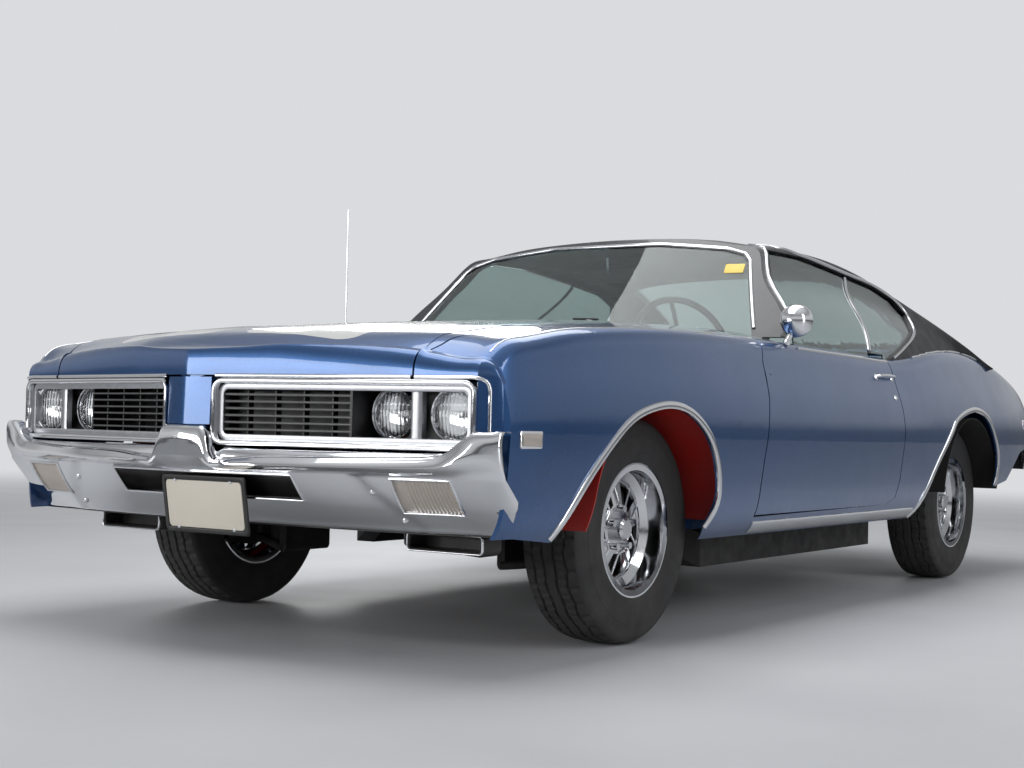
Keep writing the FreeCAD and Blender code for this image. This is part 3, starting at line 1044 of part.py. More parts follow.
def bound_sketch(body, name, plane, corners):
    """A closed outline whose corners, pairs of the sheet's names, stay tied to the sheet."""
    sketch = body.newObject("Sketcher::SketchObject", name)
    origin = [o for o in body.Origin.OriginFeatures if o.Role == plane][0]
    sketch.AttachmentSupport = [(origin, "")]
    sketch.MapMode = "FlatFace"
    spots = [Vector(signed(across), signed(up), 0) for across, up in corners]
    count = len(spots)
    for k, spot in enumerate(spots):
        sketch.addGeometry(Part.LineSegment(spot, spots[(k + 1) % count]), False)
    for k in range(count):
        sketch.addConstraint(Sketcher.Constraint("Coincident", k, 2, (k + 1) % count, 1))
    for k, (across, up) in enumerate(corners):
        for kind, name in (("DistanceX", across), ("DistanceY", up)):
            ends = (k, 1, -1, 1) if name.startswith("-") else (-1, 1, k, 1)
            index = sketch.addConstraint(Sketcher.Constraint(kind, *ends, abs(signed(name))))
            sketch.setExpression("Constraints[%d]" % index, "Sizes." + name.lstrip("-"))
    return sketch


def revolved(body, name, corners):
    """Turn an outline of (radius, distance out) corners about the body's own axis."""
    sketch = bound_sketch(body, name + "Outline", "XZ_Plane", corners)
    turn = body.newObject("PartDesign::Revolution", name)
    turn.Profile = sketch
    turn.ReferenceAxis = (sketch, ["V_Axis"])
    turn.Angle = 360
    return turn


def around(body, name, feature, sketch):
    """Repeat a feature five times about the axis."""
    pattern = body.newObject("PartDesign::PolarPattern", name)
    pattern.Originals = [feature]
    pattern.Axis = (sketch, ["N_Axis"])
    pattern.Angle = 360
    pattern.setExpression("Occurrences", "Sizes.spoke_count")
    body.Tip = pattern
    return pattern


def stand(body, label, side, axle, inboard):
    """Put a turned body on its axle, its own axis pointing out of the car."""
    body.Label = label
    body.Placement = FreeCAD.Placement(Vector(), FreeCAD.Rotation(Vector(0, 1, 0), 90 * side))
    body.setExpression("Placement.Base.x", "%d * Sizes.%s" % (side, inboard))
    body.setExpression("Placement.Base.y", axle)
    body.setExpression("Placement.Base.z", "Sizes.tyre_radius")
    NODES.append(body)


RIM_CORNERS = [
    ("lip_radius", "zero"), ("lip_radius", "rim_wall"), ("rim_radius", "rim_wall"), ("rim_radius", "well_start"),
    ("well_radius", "well_near"), ("well_radius", "well_far"), ("rim_radius", "well_end"),
    ("rim_radius", "lip_near"), ("lip_radius", "lip_near"), ("lip_radius", "rim_width"),
    ("lip_inside", "rim_width"), ("rim_inside", "lip_step"), ("rim_inside", "well_end_in"), ("well_inside", "well_far_in"),
    ("well_inside", "well_near_in"), ("rim_inside", "well_start_in"), ("rim_inside", "lip_back"), ("lip_inside", "zero"),
]
DISC_CORNERS = [
    ("stub_hole", "disc_back"), ("hub_radius", "disc_back"), ("disc_reach", "disc_foot"),
    ("disc_reach", "disc_edge"), ("hub_radius", "spoke_face"), ("stub_hole", "spoke_face"),
]
CAP_CORNERS = [
    ("zero", "spoke_face"), ("cap_radius", "spoke_face"), ("cap_radius", "cap_shoulder"), ("cap_crown", "cap_top"),
    ("zero", "cap_top"),
]
TYRE_CORNERS = [
    ("bead_radius", "bead_near"), ("wall_low", "zero"), ("wall_high", "wall_step"), ("tyre_radius", "tread_near"),
    ("tyre_radius", "tread_far"), ("wall_high", "wall_far"), ("wall_low", "tyre_width"), ("bead_radius", "bead_far"),
]


def make_wheel(label, side, axle):
    body = doc.addObject("PartDesign::Body", label)
    revolved(body, label + "Rim", RIM_CORNERS)
    revolved(body, label + "Disc", DISC_CORNERS)
    doc.recompute()
    window = bound_sketch(body, label + "WindowOutline", "XY_Plane", [
        ("window_inner", "-window_near"), ("window_outer", "-window_far"),
        ("window_outer", "window_far"), ("window_inner", "window_near")])
    pocket = body.newObject("PartDesign::Pocket", label + "Window")
    pocket.Profile = window
    pocket.setExpression("Length", "Sizes.rim_width")
    pocket.Reversed = True
    doc.recompute()
    around(body, label + "Windows", pocket, window)
    doc.recompute()
    revolved(body, label + "Cap", CAP_CORNERS)
    nut = body.newObject("Sketcher::SketchObject", label + "NutOutline")
    nut.AttachmentSupport = [([o for o in body.Origin.OriginFeatures if o.Role == "XY_Plane"][0], "")]
    nut.MapMode = "FlatFace"
    nut.setExpression("AttachmentOffset.Base.z", "Sizes.spoke_face")
    turn = math.pi / 5
    nut_at = Vector(size.nut_circle * math.cos(turn), size.nut_circle * math.sin(turn), 0)
    nut.addGeometry(Part.Circle(nut_at, Vector(0, 0, 1), size.nut_radius), False)
    index = nut.addConstraint(Sketcher.Constraint("Radius", 0, size.nut_radius))
    nut.setExpression("Constraints[%d]" % index, "Sizes.nut_radius")
    for kind, name in (("DistanceX", "nut_across"), ("DistanceY", "nut_up")):
        index = nut.addConstraint(Sketcher.Constraint(kind, -1, 1, 0, 3, cell(name)))
        nut.setExpression("Constraints[%d]" % index, "Sizes." + name)
    pad = body.newObject("PartDesign::Pad", label + "Nut")
    pad.Profile = nut
    pad.setExpression("Length", "Sizes.nut_height")
    doc.recompute()
    around(body, label + "Nuts", pad, nut)
    stand(body, label, side, axle, "rim_inboard")
    return body


def make_tyre(label, side, axle):
    body = doc.addObject("PartDesign::Body", label)
    revolved(body, label + "Tread", TYRE_CORNERS)
    stand(body, label, side, axle, "tyre_inboard")
    return body


for corner, side, axle in (("front_left", 1, "-Sizes.front_axle"), ("front_right", -1, "-Sizes.front_axle"),
                           ("rear_left", 1, "Sizes.rear_axle"), ("rear_right", -1, "Sizes.rear_axle")):
    make_wheel("wheel_" + corner, side, axle)
    make_tyre("tyre_" + corner, side, axle)


def check_and_write():
    """Test every object and sub-part, then write each sub-part to a file of its own."""
    doc.recompute()
    for thing in doc.Objects:
        if set(thing.State) & {"Invalid", "Error"}:
            raise RuntimeError(thing.Label + " failed")
    for node in NODES:
        shape = node.Shape
        if shape.isNull() or not shape.isValid():
            print("not valid:", node.Label)
        print(node.Label, len(shape.Solids), shape.isValid(), round(shape.Volume / 1e6, 2))
        shape.exportStep("parts/" + node.Label + ".step")


check_and_write()
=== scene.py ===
"""A two-door hardtop with a vinyl roof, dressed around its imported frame. Lengths are in metres."""

import math

import bmesh
import bpy
from mathutils import Matrix, Vector
from mathutils.bvhtree import BVHTree


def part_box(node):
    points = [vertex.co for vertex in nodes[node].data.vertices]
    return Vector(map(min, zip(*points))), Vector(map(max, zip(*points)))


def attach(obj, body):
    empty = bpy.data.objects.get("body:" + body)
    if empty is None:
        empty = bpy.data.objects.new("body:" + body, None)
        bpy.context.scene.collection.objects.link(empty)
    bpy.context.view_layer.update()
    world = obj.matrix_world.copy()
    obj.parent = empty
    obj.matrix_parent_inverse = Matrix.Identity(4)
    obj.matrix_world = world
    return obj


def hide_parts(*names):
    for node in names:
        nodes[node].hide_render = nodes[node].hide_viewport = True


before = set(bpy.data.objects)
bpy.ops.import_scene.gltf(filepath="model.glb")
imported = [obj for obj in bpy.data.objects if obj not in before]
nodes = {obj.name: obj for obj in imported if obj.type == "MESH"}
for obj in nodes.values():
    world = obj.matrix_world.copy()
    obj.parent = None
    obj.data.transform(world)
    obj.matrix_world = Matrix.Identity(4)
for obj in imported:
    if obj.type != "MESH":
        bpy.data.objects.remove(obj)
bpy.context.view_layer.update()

# Sizes of the car that its trim follows
LONG, WIDE, TALL = 2.564, 0.967, 1.0
TYRE = 0.334
FRONT_AXLE, REAR_AXLE, WHEEL_PLANE = -1.548, 1.297, 0.745
SIDES = (("left", 1), ("right", -1))
ENDS = (("front", FRONT_AXLE), ("rear", REAR_AXLE))
WHEELS = tuple((f"{end}_{side}", sign, axle) for end, axle in ENDS for side, sign in SIDES)

# Camera at the photograph's place
CAMERA_AT = Vector((3.075, -5.514, 0.630))
CAMERA_YAW, CAMERA_PITCH, CAMERA_ROLL = math.radians(-34.085), math.radians(1.5546), math.radians(1.2608)
CAMERA_LENS, CAMERA_SENSOR = 54.49, 36
IMAGE_WIDTH, IMAGE_HEIGHT = 1024, 768


def camera_axes():
    """The camera's right, up and forward directions."""
    reach = math.cos(CAMERA_PITCH)
    forward = Vector((math.sin(CAMERA_YAW) * reach, math.cos(CAMERA_YAW) * reach, math.sin(CAMERA_PITCH)))
    level = forward.cross(Vector((0, 0, 1))).normalized()
    upright = level.cross(forward)
    right = level * math.cos(CAMERA_ROLL) + upright * math.sin(CAMERA_ROLL)
    up = upright * math.cos(CAMERA_ROLL) - level * math.sin(CAMERA_ROLL)
    return right, up, forward


def make_camera():
    right, up, forward = camera_axes()
    data = bpy.data.cameras.new("camera")
    data.lens, data.sensor_width = CAMERA_LENS, CAMERA_SENSOR
    data.clip_start, data.clip_end = 0.05, 200
    camera = bpy.data.objects.new("camera", data)
    bpy.context.scene.collection.objects.link(camera)
    turn = Matrix((right, up, -forward)).transposed().to_4x4()
    camera.matrix_world = Matrix.Translation(CAMERA_AT) @ turn
    bpy.context.scene.camera = camera


def sight(x, y):
    """The direction from the camera through a pixel of the photograph."""
    right, up, forward = camera_axes()
    focus = CAMERA_LENS / CAMERA_SENSOR * IMAGE_WIDTH
    return (forward * focus + right * (x - IMAGE_WIDTH / 2) - up * (y - IMAGE_HEIGHT / 2)).normalized()


make_camera()


# Effects that several finishes share
FLOAT, COLOUR = "NodeSocketFloat", "NodeSocketColor"


def shared_effect(name, inputs, outputs):
    group = bpy.data.node_groups.new(name, "ShaderNodeTree")
    for label, kind, value in inputs:
        socket = group.interface.new_socket(name=label, in_out="INPUT", socket_type=kind)
        socket.default_value = value
    for label, kind in outputs:
        group.interface.new_socket(name=label, in_out="OUTPUT", socket_type=kind)
    return group, group.nodes.new("NodeGroupInput"), group.nodes.new("NodeGroupOutput")


def node(tree, kind, inputs=None, **fields):
    """Adds a node, sets its fields, and sets or links its inputs."""
    made = tree.nodes.new(kind)
    for field, value in fields.items():
        setattr(made, field, value)
    for label, value in (inputs or {}).items():
        if isinstance(value, bpy.types.NodeSocket):
            tree.links.new(value, made.inputs[label])
        else:
            made.inputs[label].default_value = value
    return made


def own_place(tree):
    """The socket of a spot's place in its object."""
    return node(tree, "ShaderNodeTexCoord").outputs["Object"]


def maths(tree, operation, first, second=0.0):
    """The socket of a sum, a product or the like."""
    return node(tree, "ShaderNodeMath", {0: first, 1: second}, operation=operation).outputs["Value"]


def blend(tree, share, first, second):
    """The socket of a colour between two others, by share."""
    mix = node(tree, "ShaderNodeMix", {"Factor": share, "A": first, "B": second}, data_type="RGBA")
    return mix.outputs["Result"]


def make_grain():
    """Fine unevenness: a value between Low and High, and a height."""
    group, start, end = shared_effect(
        "grain",
        (("Scale", FLOAT, 30), ("Detail", FLOAT, 4), ("Low", FLOAT, 0), ("High", FLOAT, 1)),
        (("Value", FLOAT), ("Height", FLOAT)))
    place = own_place(group)
    noise = node(group, "ShaderNodeTexNoise", {
        "Vector": place, "Scale": start.outputs["Scale"], "Detail": start.outputs["Detail"]})
    spread = node(group, "ShaderNodeMapRange", {
        "Value": noise.outputs["Fac"], "From Min": 0.3, "From Max": 0.7,
        "To Min": start.outputs["Low"], "To Max": start.outputs["High"]})
    group.links.new(spread.outputs["Result"], end.inputs["Value"])
    group.links.new(noise.outputs["Fac"], end.inputs["Height"])
    return group


def make_film():
    """Road film: dust that gathers low on the car."""
    group, start, end = shared_effect(
        "road_film",
        (("Clean", COLOUR, (0.5, 0.5, 0.5, 1)), ("Film", COLOUR, (0.2, 0.18, 0.15, 1)),
         ("Low", FLOAT, 0.1), ("High", FLOAT, 0.6), ("Amount", FLOAT, 0.3)),
        (("Color", COLOUR), ("Mask", FLOAT)))
    place = own_place(group)
    parts = node(group, "ShaderNodeSeparateXYZ", {"Vector": place})
    fall = node(group, "ShaderNodeMapRange", {
        "Value": parts.outputs["Z"], "From Min": start.outputs["Low"], "From Max": start.outputs["High"],
        "To Min": 1.0, "To Max": 0.0})
    noise = node(group, "ShaderNodeTexNoise", {"Vector": place, "Scale": 7.0, "Detail": 6.0})
    patches = node(group, "ShaderNodeMapRange",
                   {"Value": noise.outputs["Fac"], "From Min": 0.3, "From Max": 0.7})
    both = maths(group, "MULTIPLY", fall.outputs["Result"], patches.outputs["Result"])
    mask = maths(group, "MULTIPLY", both, start.outputs["Amount"])
    colour = blend(group, mask, start.outputs["Clean"], start.outputs["Film"])
    group.links.new(colour, end.inputs["Color"])
    group.links.new(mask, end.inputs["Mask"])
    return group


def make_flake():
    """Metal flake: cells that differ a little in brightness."""
    group, start, end = shared_effect(
        "flake",
        (("Deep", COLOUR, (0, 0, 0, 1)), ("Bright", COLOUR, (1, 1, 1, 1)), ("Scale", FLOAT, 900)),
        (("Color", COLOUR),))
    place = own_place(group)
    cells = node(group, "ShaderNodeTexVoronoi", {"Vector": place, "Scale": start.outputs["Scale"]})
    share = node(group, "ShaderNodeSeparateColor", {"Color": cells.outputs["Color"]})
    colour = blend(group, share.outputs["Red"], start.outputs["Deep"], start.outputs["Bright"])
    group.links.new(colour, end.inputs["Color"])
    return group


def make_pebble():
    """Embossed grain of vinyl: rounded cells with fine creases."""
    group, start, end = shared_effect(
        "pebble",
        (("Scale", FLOAT, 500), ("Dark", COLOUR, (0, 0, 0, 1)), ("Light", COLOUR, (0.1, 0.1, 0.1, 1))),
        (("Height", FLOAT), ("Color", COLOUR)))
    place = own_place(group)
    cells = node(group, "ShaderNodeTexVoronoi",
                 {"Vector": place, "Scale": start.outputs["Scale"]}, feature="SMOOTH_F1")
    broad = node(group, "ShaderNodeTexNoise", {"Vector": place, "Scale": 5.0, "Detail": 6.0})
    colour = blend(group, broad.outputs["Fac"], start.outputs["Dark"], start.outputs["Light"])
    group.links.new(cells.outputs["Distance"], end.inputs["Height"])
    group.links.new(colour, end.inputs["Color"])
    return group


grain, road_film, flake, pebble = make_grain(), make_film(), make_flake(), make_pebble()


class Finish:
    """A material with its shader and shared effects, and a slot name that it holds."""

    def __init__(self, name, slot=None, **values):
        self.slot = slot
        self.material = bpy.data.materials.new(name)
        self.material.use_nodes = True
        self.tree = self.material.node_tree
        self.shader = self.tree.nodes["Principled BSDF"]
        for label, value in values.items():
            self.shader.inputs[label.replace("_", " ")].default_value = value

    def effect(self, group, **inputs):
        return node(self.tree, "ShaderNodeGroup", inputs, node_tree=group)

    def feed(self, socket, label):
        self.tree.links.new(socket, self.shader.inputs[label])

    def uneven(self, label, low, high, scale=30.0, detail=4.0):
        """The shader's value for label wanders between low and high over the surface."""
        self.feed(self.effect(grain, Scale=scale, Detail=detail, Low=low, High=high).outputs["Value"], label)

    def bump(self, height, strength, distance):
        made = node(self.tree, "ShaderNodeBump",
                    {"Height": height, "Strength": strength, "Distance": distance})
        self.feed(made.outputs["Normal"], "Normal")

    def filmed(self, colour, low, high, amount, film=(0.16, 0.145, 0.125, 1)):
        made = self.effect(road_film, Clean=colour, Film=film, Low=low, High=high, Amount=amount)
        self.feed(made.outputs["Color"], "Base Color")

    def drifting(self, first, second, scale, detail, low=0.0, high=1.0):
        """The colour drifts from the first shade to the second and back."""
        shade = self.effect(grain, Scale=scale, Detail=detail, Low=low, High=high).outputs["Value"]
        self.feed(blend(self.tree, shade, first, second), "Base Color")

    def flaked(self):
        """The body's blue, with its metal flake."""
        made = self.effect(flake, Deep=PAINT_DEEP, Bright=PAINT_BRIGHT, Scale=FLAKE_SCALE)
        return made.outputs["Color"]


def rgb(red, green, blue):
    return (red, green, blue, 1)


PAINT_DEEP, PAINT_BRIGHT = rgb(0.013, 0.052, 0.160), rgb(0.028, 0.110, 0.300)
PAINT_METAL, PAINT_ROUGH, FLAKE_SCALE = 0.7, (0.26, 0.36), 1400.0
STRIPE_NEAR, STRIPE_FAR, STRIPE_FRONT, STRIPE_CORNER, STRIPE_SOFT = 0.056, 0.445, -2.40, 0.05, 0.0008
STRIPE_WHITE = rgb(0.66, 0.66, 0.64)


def blue_paint(name):
    made = Finish(name, "blue_paint", Metallic=PAINT_METAL, Coat_Weight=1.0, Coat_Roughness=0.03)
    made.filmed(made.flaked(), 0.15, 0.55, 0.12)
    made.uneven("Roughness", *PAINT_ROUGH, 4.0)
    return made


def stripe_mask(tree):
    """1 on two stripes along the outside of the hood, with round front corners, and 0 elsewhere."""
    place = node(tree, "ShaderNodeTexCoord")
    parts = node(tree, "ShaderNodeSeparateXYZ", {"Vector": place.outputs["Object"]})

    across = maths(tree, "ABSOLUTE", parts.outputs["X"])
    from_middle = maths(tree, "ABSOLUTE", maths(tree, "SUBTRACT", across, (STRIPE_NEAR + STRIPE_FAR) / 2))
    reach = (STRIPE_FAR - STRIPE_NEAR) / 2 - STRIPE_CORNER
    beside = maths(tree, "MAXIMUM", maths(tree, "SUBTRACT", from_middle, reach), 0.0)
    ahead = maths(tree, "SUBTRACT", STRIPE_FRONT + STRIPE_CORNER, parts.outputs["Y"])
    ahead = maths(tree, "MAXIMUM", ahead, 0.0)
    squares = [maths(tree, "MULTIPLY", gap, gap) for gap in (beside, ahead)]
    away = maths(tree, "SQRT", maths(tree, "ADD", *squares))
    edge = node(tree, "ShaderNodeMapRange", {
        "Value": away, "From Min": STRIPE_CORNER - STRIPE_SOFT, "From Max": STRIPE_CORNER + STRIPE_SOFT,
        "To Min": 1.0, "To Max": 0.0})
    facing = node(tree, "ShaderNodeSeparateXYZ", {"Vector": place.outputs["Normal"]})
    outside = maths(tree, "GREATER_THAN", facing.outputs["Z"], 0.15)
    return maths(tree, "MULTIPLY", edge.outputs["Result"], outside)


def striped_paint():
    """The body's paint, with two white stripes on the outside."""
    made = Finish("hood_paint", "blue_paint", Coat_Weight=1.0, Coat_Roughness=0.03)
    mask = stripe_mask(made.tree)
    made.feed(blend(made.tree, mask, made.flaked(), STRIPE_WHITE), "Base Color")
    metal = node(made.tree, "ShaderNodeMapRange", {"Value": mask, "To Min": PAINT_METAL, "To Max": 0.0})
    made.feed(metal.outputs["Result"], "Metallic")
    made.uneven("Roughness", *PAINT_ROUGH, 4.0)
    return made


def grained(name, slot, dark, light, rough, scale, relief):
    """Embossed vinyl, with its relief as (strength, depth)."""
    made = Finish(name, slot)
    skin = made.effect(pebble, Scale=scale, Dark=dark, Light=light)
    made.feed(skin.outputs["Color"], "Base Color")
    made.uneven("Roughness", *rough, 12.0)
    made.bump(skin.outputs["Height"], *relief)
    return made


def plated(name, slot, colour, low, high, scale=24.0):
    """Plated or polished metal with a faint haze."""
    made = Finish(name, slot, Metallic=1.0)
    made.drifting(tuple(c * 0.8 for c in colour[:3]) + (1,), colour, scale, 3.0, 0.94)
    made.uneven("Roughness", low, high, scale)
    return made


def painted(name, slot, colour, rough, film, relief=0.0, **values):
    """Painted, cast or moulded surface: film is its lowest and highest place, and its share."""
    made = Finish(name, slot, **values)
    made.filmed(colour, *film)
    made.uneven("Roughness", *rough, 18.0)
    if relief:
        height = made.effect(grain, Scale=220.0, Detail=5.0).outputs["Height"]
        made.bump(height, relief, 0.001)
    return made


def clear(name, slot, colour, low=0.0, high=0.03):
    """Glass or clear plastic with faint smears."""
    made = Finish(name, slot, Transmission_Weight=1.0, IOR=1.45)
    made.drifting(tuple(c * 0.97 for c in colour[:3]) + (1,), colour, 3.0, 5.0)
    made.uneven("Roughness", low, high, 5.0)
    return made


body_paint = blue_paint("body_paint")
hood_paint = striped_paint()
roof_vinyl = grained(
    "roof_vinyl", None, rgb(0.008, 0.008, 0.009), rgb(0.020, 0.020, 0.022),
    (0.42, 0.58), 650.0, (0.5, 0.0008))
seat_vinyl = grained(
    "seat_vinyl", "seat_vinyl", rgb(0.010, 0.010, 0.011), rgb(0.026, 0.025, 0.025),
    (0.38, 0.55), 420.0, (0.4, 0.0007))
trim_vinyl = grained(
    "trim_vinyl", "seat_vinyl", rgb(0.010, 0.010, 0.011), rgb(0.022, 0.022, 0.023),
    (0.45, 0.6), 520.0, (0.4, 0.0006))
chrome = plated("chrome", "chrome", rgb(0.78, 0.79, 0.81), 0.03, 0.09)
bright_trim = plated("bright_trim", "bright_trim", rgb(0.72, 0.73, 0.75), 0.08, 0.16, 40.0)
satin_silver = plated("satin_silver", "bright_trim", rgb(0.46, 0.47, 0.49), 0.32, 0.42, 60.0)
wheel_chrome = plated("wheel_chrome", "wheel_chrome", rgb(0.66, 0.67, 0.69), 0.06, 0.16, 30.0)
grille_edge = plated("grille_edge", "bright_trim", rgb(0.24, 0.245, 0.25), 0.28, 0.38, 40.0)
window_glass = clear("window_glass", None, rgb(0.50, 0.60, 0.585))
turn_glass = painted(
    "turn_glass", "white_lens", rgb(0.62, 0.55, 0.49), (0.15, 0.25), (0.2, 0.6, 0.1),
    Transmission_Weight=0.35, Coat_Weight=0.6)
red_glass = painted(
    "red_glass", "red_lens", rgb(0.42, 0.012, 0.012), (0.12, 0.2), (0.2, 0.5, 0.1), Coat_Weight=1.0)
grille_black = painted(
    "grille_black", "black_plastic", rgb(0.008, 0.008, 0.009), (0.32, 0.45), (0.2, 0.9, 0.15), 0.1)
pillar_black = painted(
    "pillar_black", None, rgb(0.010, 0.011, 0.014), (0.22, 0.34), (0.2, 0.9, 0.1), Coat_Weight=0.5)
moulded_black = painted(
    "moulded_black", "black_plastic", rgb(0.012, 0.012, 0.013), (0.4, 0.55), (0.2, 0.6, 0.1), 0.15)
valance_black = painted(
    "valance_black", "black_paint", rgb(0.010, 0.010, 0.011), (0.3, 0.45), (0.2, 0.5, 0.35))
under_black = painted(
    "under_black", "black_metal", rgb(0.008, 0.008, 0.008), (0.6, 0.85), (0.1, 0.5, 0.15), 0.3)
cast_iron = painted(
    "cast_iron", None, rgb(0.035, 0.033, 0.032), (0.5, 0.75), (0.2, 0.9, 0.4), 0.5, Metallic=0.4)
pipe_steel = painted("pipe_steel", None, rgb(0.20, 0.185, 0.17), (0.35, 0.6), (0.0, 0.5, 0.5), Metallic=0.8)
inner_red = painted("inner_red", None, rgb(0.46, 0.018, 0.014), (0.3, 0.45), (0.2, 0.9, 0.3))
tyre_rubber = painted("tyre_rubber", "tyre", rgb(0.017, 0.017, 0.018), (0.62, 0.8), (0.0, 0.5, 0.22), 0.2)
plate_cream = painted("plate_cream", None, rgb(0.66, 0.61, 0.52), (0.3, 0.42), (0.2, 0.6, 0.15))
label_yellow = painted("label_yellow", None, rgb(0.80, 0.58, 0.10), (0.4, 0.5), (0.2, 0.6, 0.05))
floor_carpet = painted("floor_carpet", None, rgb(0.014, 0.013, 0.013), (0.85, 0.98), (0.2, 0.5, 0.2), 0.8)
dial_face = painted("dial_face", "black_plastic", rgb(0.02, 0.02, 0.022), (0.25, 0.35), (0.2, 0.5, 0.05))

NODE_FINISHES = {
    body_paint: ("body_shell", "cowl", "fender_left", "fender_right", "door_left", "door_right", "trunk_lid"),
    hood_paint: ("hood",),
    roof_vinyl: ("roof",),
    pillar_black: ("windshield_frame",),
    chrome: ("rear_bumper", "antenna"),
    window_glass: ("windshield", "rear_window", "quarter_glass", "door_glass_left", "door_glass_right"),
    grille_black: ("grilles",),
    valance_black: ("front_valance",),
    moulded_black: ("steering_wheel",),
    trim_vinyl: ("dashboard",),
    inner_red: ("inner_fenders",),
    under_black: ("radiator", "chassis_frame", "rear_axle", "front_suspension", "knuckle_left",
                  "knuckle_right", "fuel_tank"),
    floor_carpet: ("floor_pan",),
    cast_iron: ("engine_block", "gearbox_and_shaft"),
    pipe_steel: ("exhaust",),
    red_glass: ("tail_lamps",),
    wheel_chrome: tuple("wheel_" + name for name, sign, axle in WHEELS),
}

for finish, names in NODE_FINISHES.items():
    for name in names:
        for place in nodes[name].material_slots:
            place.link = "OBJECT"
            place.material = finish.material


# Curves, surfaces and solid forms
def smooth(table, at):
    """A smooth curve through a table that never overshoots its points."""
    if at <= table[0][0]:
        return table[0][1]
    if at >= table[-1][0]:
        return table[-1][1]
    steps = [b[0] - a[0] for a, b in zip(table, table[1:])]
    slopes = [(b[1] - a[1]) / step for a, b, step in zip(table, table[1:], steps)]
    tangents = [slopes[0]]
    for k in range(1, len(slopes)):
        before, after = slopes[k - 1], slopes[k]
        if before * after <= 0:
            tangents.append(0)
        else:
            first = 2 * steps[k] + steps[k - 1]
            second = steps[k] + 2 * steps[k - 1]
            tangents.append((first + second) / (first / before + second / after))
    tangents.append(slopes[-1])
    k = max(i for i in range(len(steps)) if table[i][0] <= at)
    step, part = steps[k], (at - table[k][0]) / steps[k]
    low, high = table[k][1], table[k + 1][1]
    return (
        low * (1 + 2 * part) * (1 - part) ** 2
        + high * part ** 2 * (3 - 2 * part)
        + step * tangents[k] * part * (1 - part) ** 2
        - step * tangents[k + 1] * part ** 2 * (1 - part)
    )


def lerp(a, b, part):
    """The value that far between a and b, and never past them."""
    part = max(0.0, min(1.0, part))
    return a + (b - a) * part


def through(points, steps=8, closed=False):
    """A rounded line through points of any dimension."""
    points = [Vector(p) for p in points]
    count = len(points)
    spans = count if closed else count - 1
    line = []
    for k in range(spans):
        if closed:
            a, b, c, d = (points[(k + j) % count] for j in (-1, 0, 1, 2))
        else:
            b, c = points[k], points[k + 1]
            a = points[k - 1] if k else b + (b - c)
            d = points[k + 2] if k + 2 < count else c + (c - b)
        for j in range(steps):
            t = j / steps
            bend, twist = 2 * a - 5 * b + 4 * c - d, 3 * b - a - 3 * c + d
            line.append(0.5 * (2 * b + (c - a) * t + bend * t ** 2 + twist * t ** 3))
    if not closed:
        line.append(points[-1])
    return line


def straight(points, pitch):
    """Points along straight runs, no further apart than pitch."""
    line = [Vector(points[0])]
    for a, b in zip(points, points[1:]):
        a, b = Vector(a), Vector(b)
        count = max(1, math.ceil((b - a).length / pitch))
        line += [a.lerp(b, (k + 1) / count) for k in range(count)]
    return line


def looped(points, pitch):
    """A closed line through corners, with points no further apart than pitch."""
    return straight(points + points[:1], pitch)[:-1]


def spaced(first, last, count):
    """Values from first to last in equal steps."""
    return [lerp(first, last, k / count) for k in range(count + 1)]


def pushed(line, reach, closed=False):
    """A plane line moved sideways by reach, to its left."""
    moved = []
    count = len(line)
    for k, p in enumerate(line):
        before = line[(k - 1) % count] if closed or k else p
        after = line[(k + 1) % count] if closed or k + 1 < count else p
        way = (after - before).normalized()
        moved.append(Vector((p.x - way.y * reach, p.y + way.x * reach)))
    return moved


class Surface:
    """The outside of some nodes, to lay trim on."""

    def __init__(self, *names):
        self.trees = []
        for name in names:
            mesh = nodes[name].data
            tree = BVHTree.FromPolygons([v.co for v in mesh.vertices], [p.vertices for p in mesh.polygons])
            self.trees.append((name, tree))

    def hit(self, start, way):
        """(place, outward direction, node) where a line from start first meets a node, or None."""
        found = None
        for name, tree in self.trees:
            place, normal, _, distance = tree.ray_cast(start, way)
            if place is not None and (found is None or distance < found[0]):
                if normal.dot(way) > 0:
                    normal = -normal
                found = (distance, place, normal, name)
        return found[1:] if found else None

    def across(self, sign, y, z):
        return self.hit(Vector((sign * 1.3, y, z)), Vector((-sign, 0, 0)))

    def above(self, x, y):
        return self.hit(Vector((x, y, 1.7)), Vector((0, 0, -1)))

    def ahead(self, x, z):
        return self.hit(Vector((x, -3, z)), Vector((0, 1, 0)))


def met(found):
    """The spots of a bead where lines met a surface."""
    return [(hit[0], hit[1]) for hit in found if hit]


def build(name, points, faces, finish, body, slot=None, sharp=35):
    """A closed mesh that moves with a body. The slot it is given, and its finish's slot, are not used."""
    mesh = bpy.data.meshes.new(name)
    mesh.from_pydata([tuple(p) for p in points], [], faces)
    form = bmesh.new()
    form.from_mesh(mesh)
    bmesh.ops.remove_doubles(form, verts=form.verts, dist=1e-6)
    bmesh.ops.recalc_face_normals(form, faces=form.faces)
    form.to_mesh(mesh)
    form.free()
    mesh.polygons.foreach_set("use_smooth", [True] * len(mesh.polygons))
    mesh.set_sharp_from_angle(angle=math.radians(sharp))
    mesh.materials.append(finish.material)
    made = bpy.data.objects.new(name, mesh)
    bpy.context.scene.collection.objects.link(made)
    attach(made, body)
    if slot or finish.slot:
        slot or finish.slot
    return made


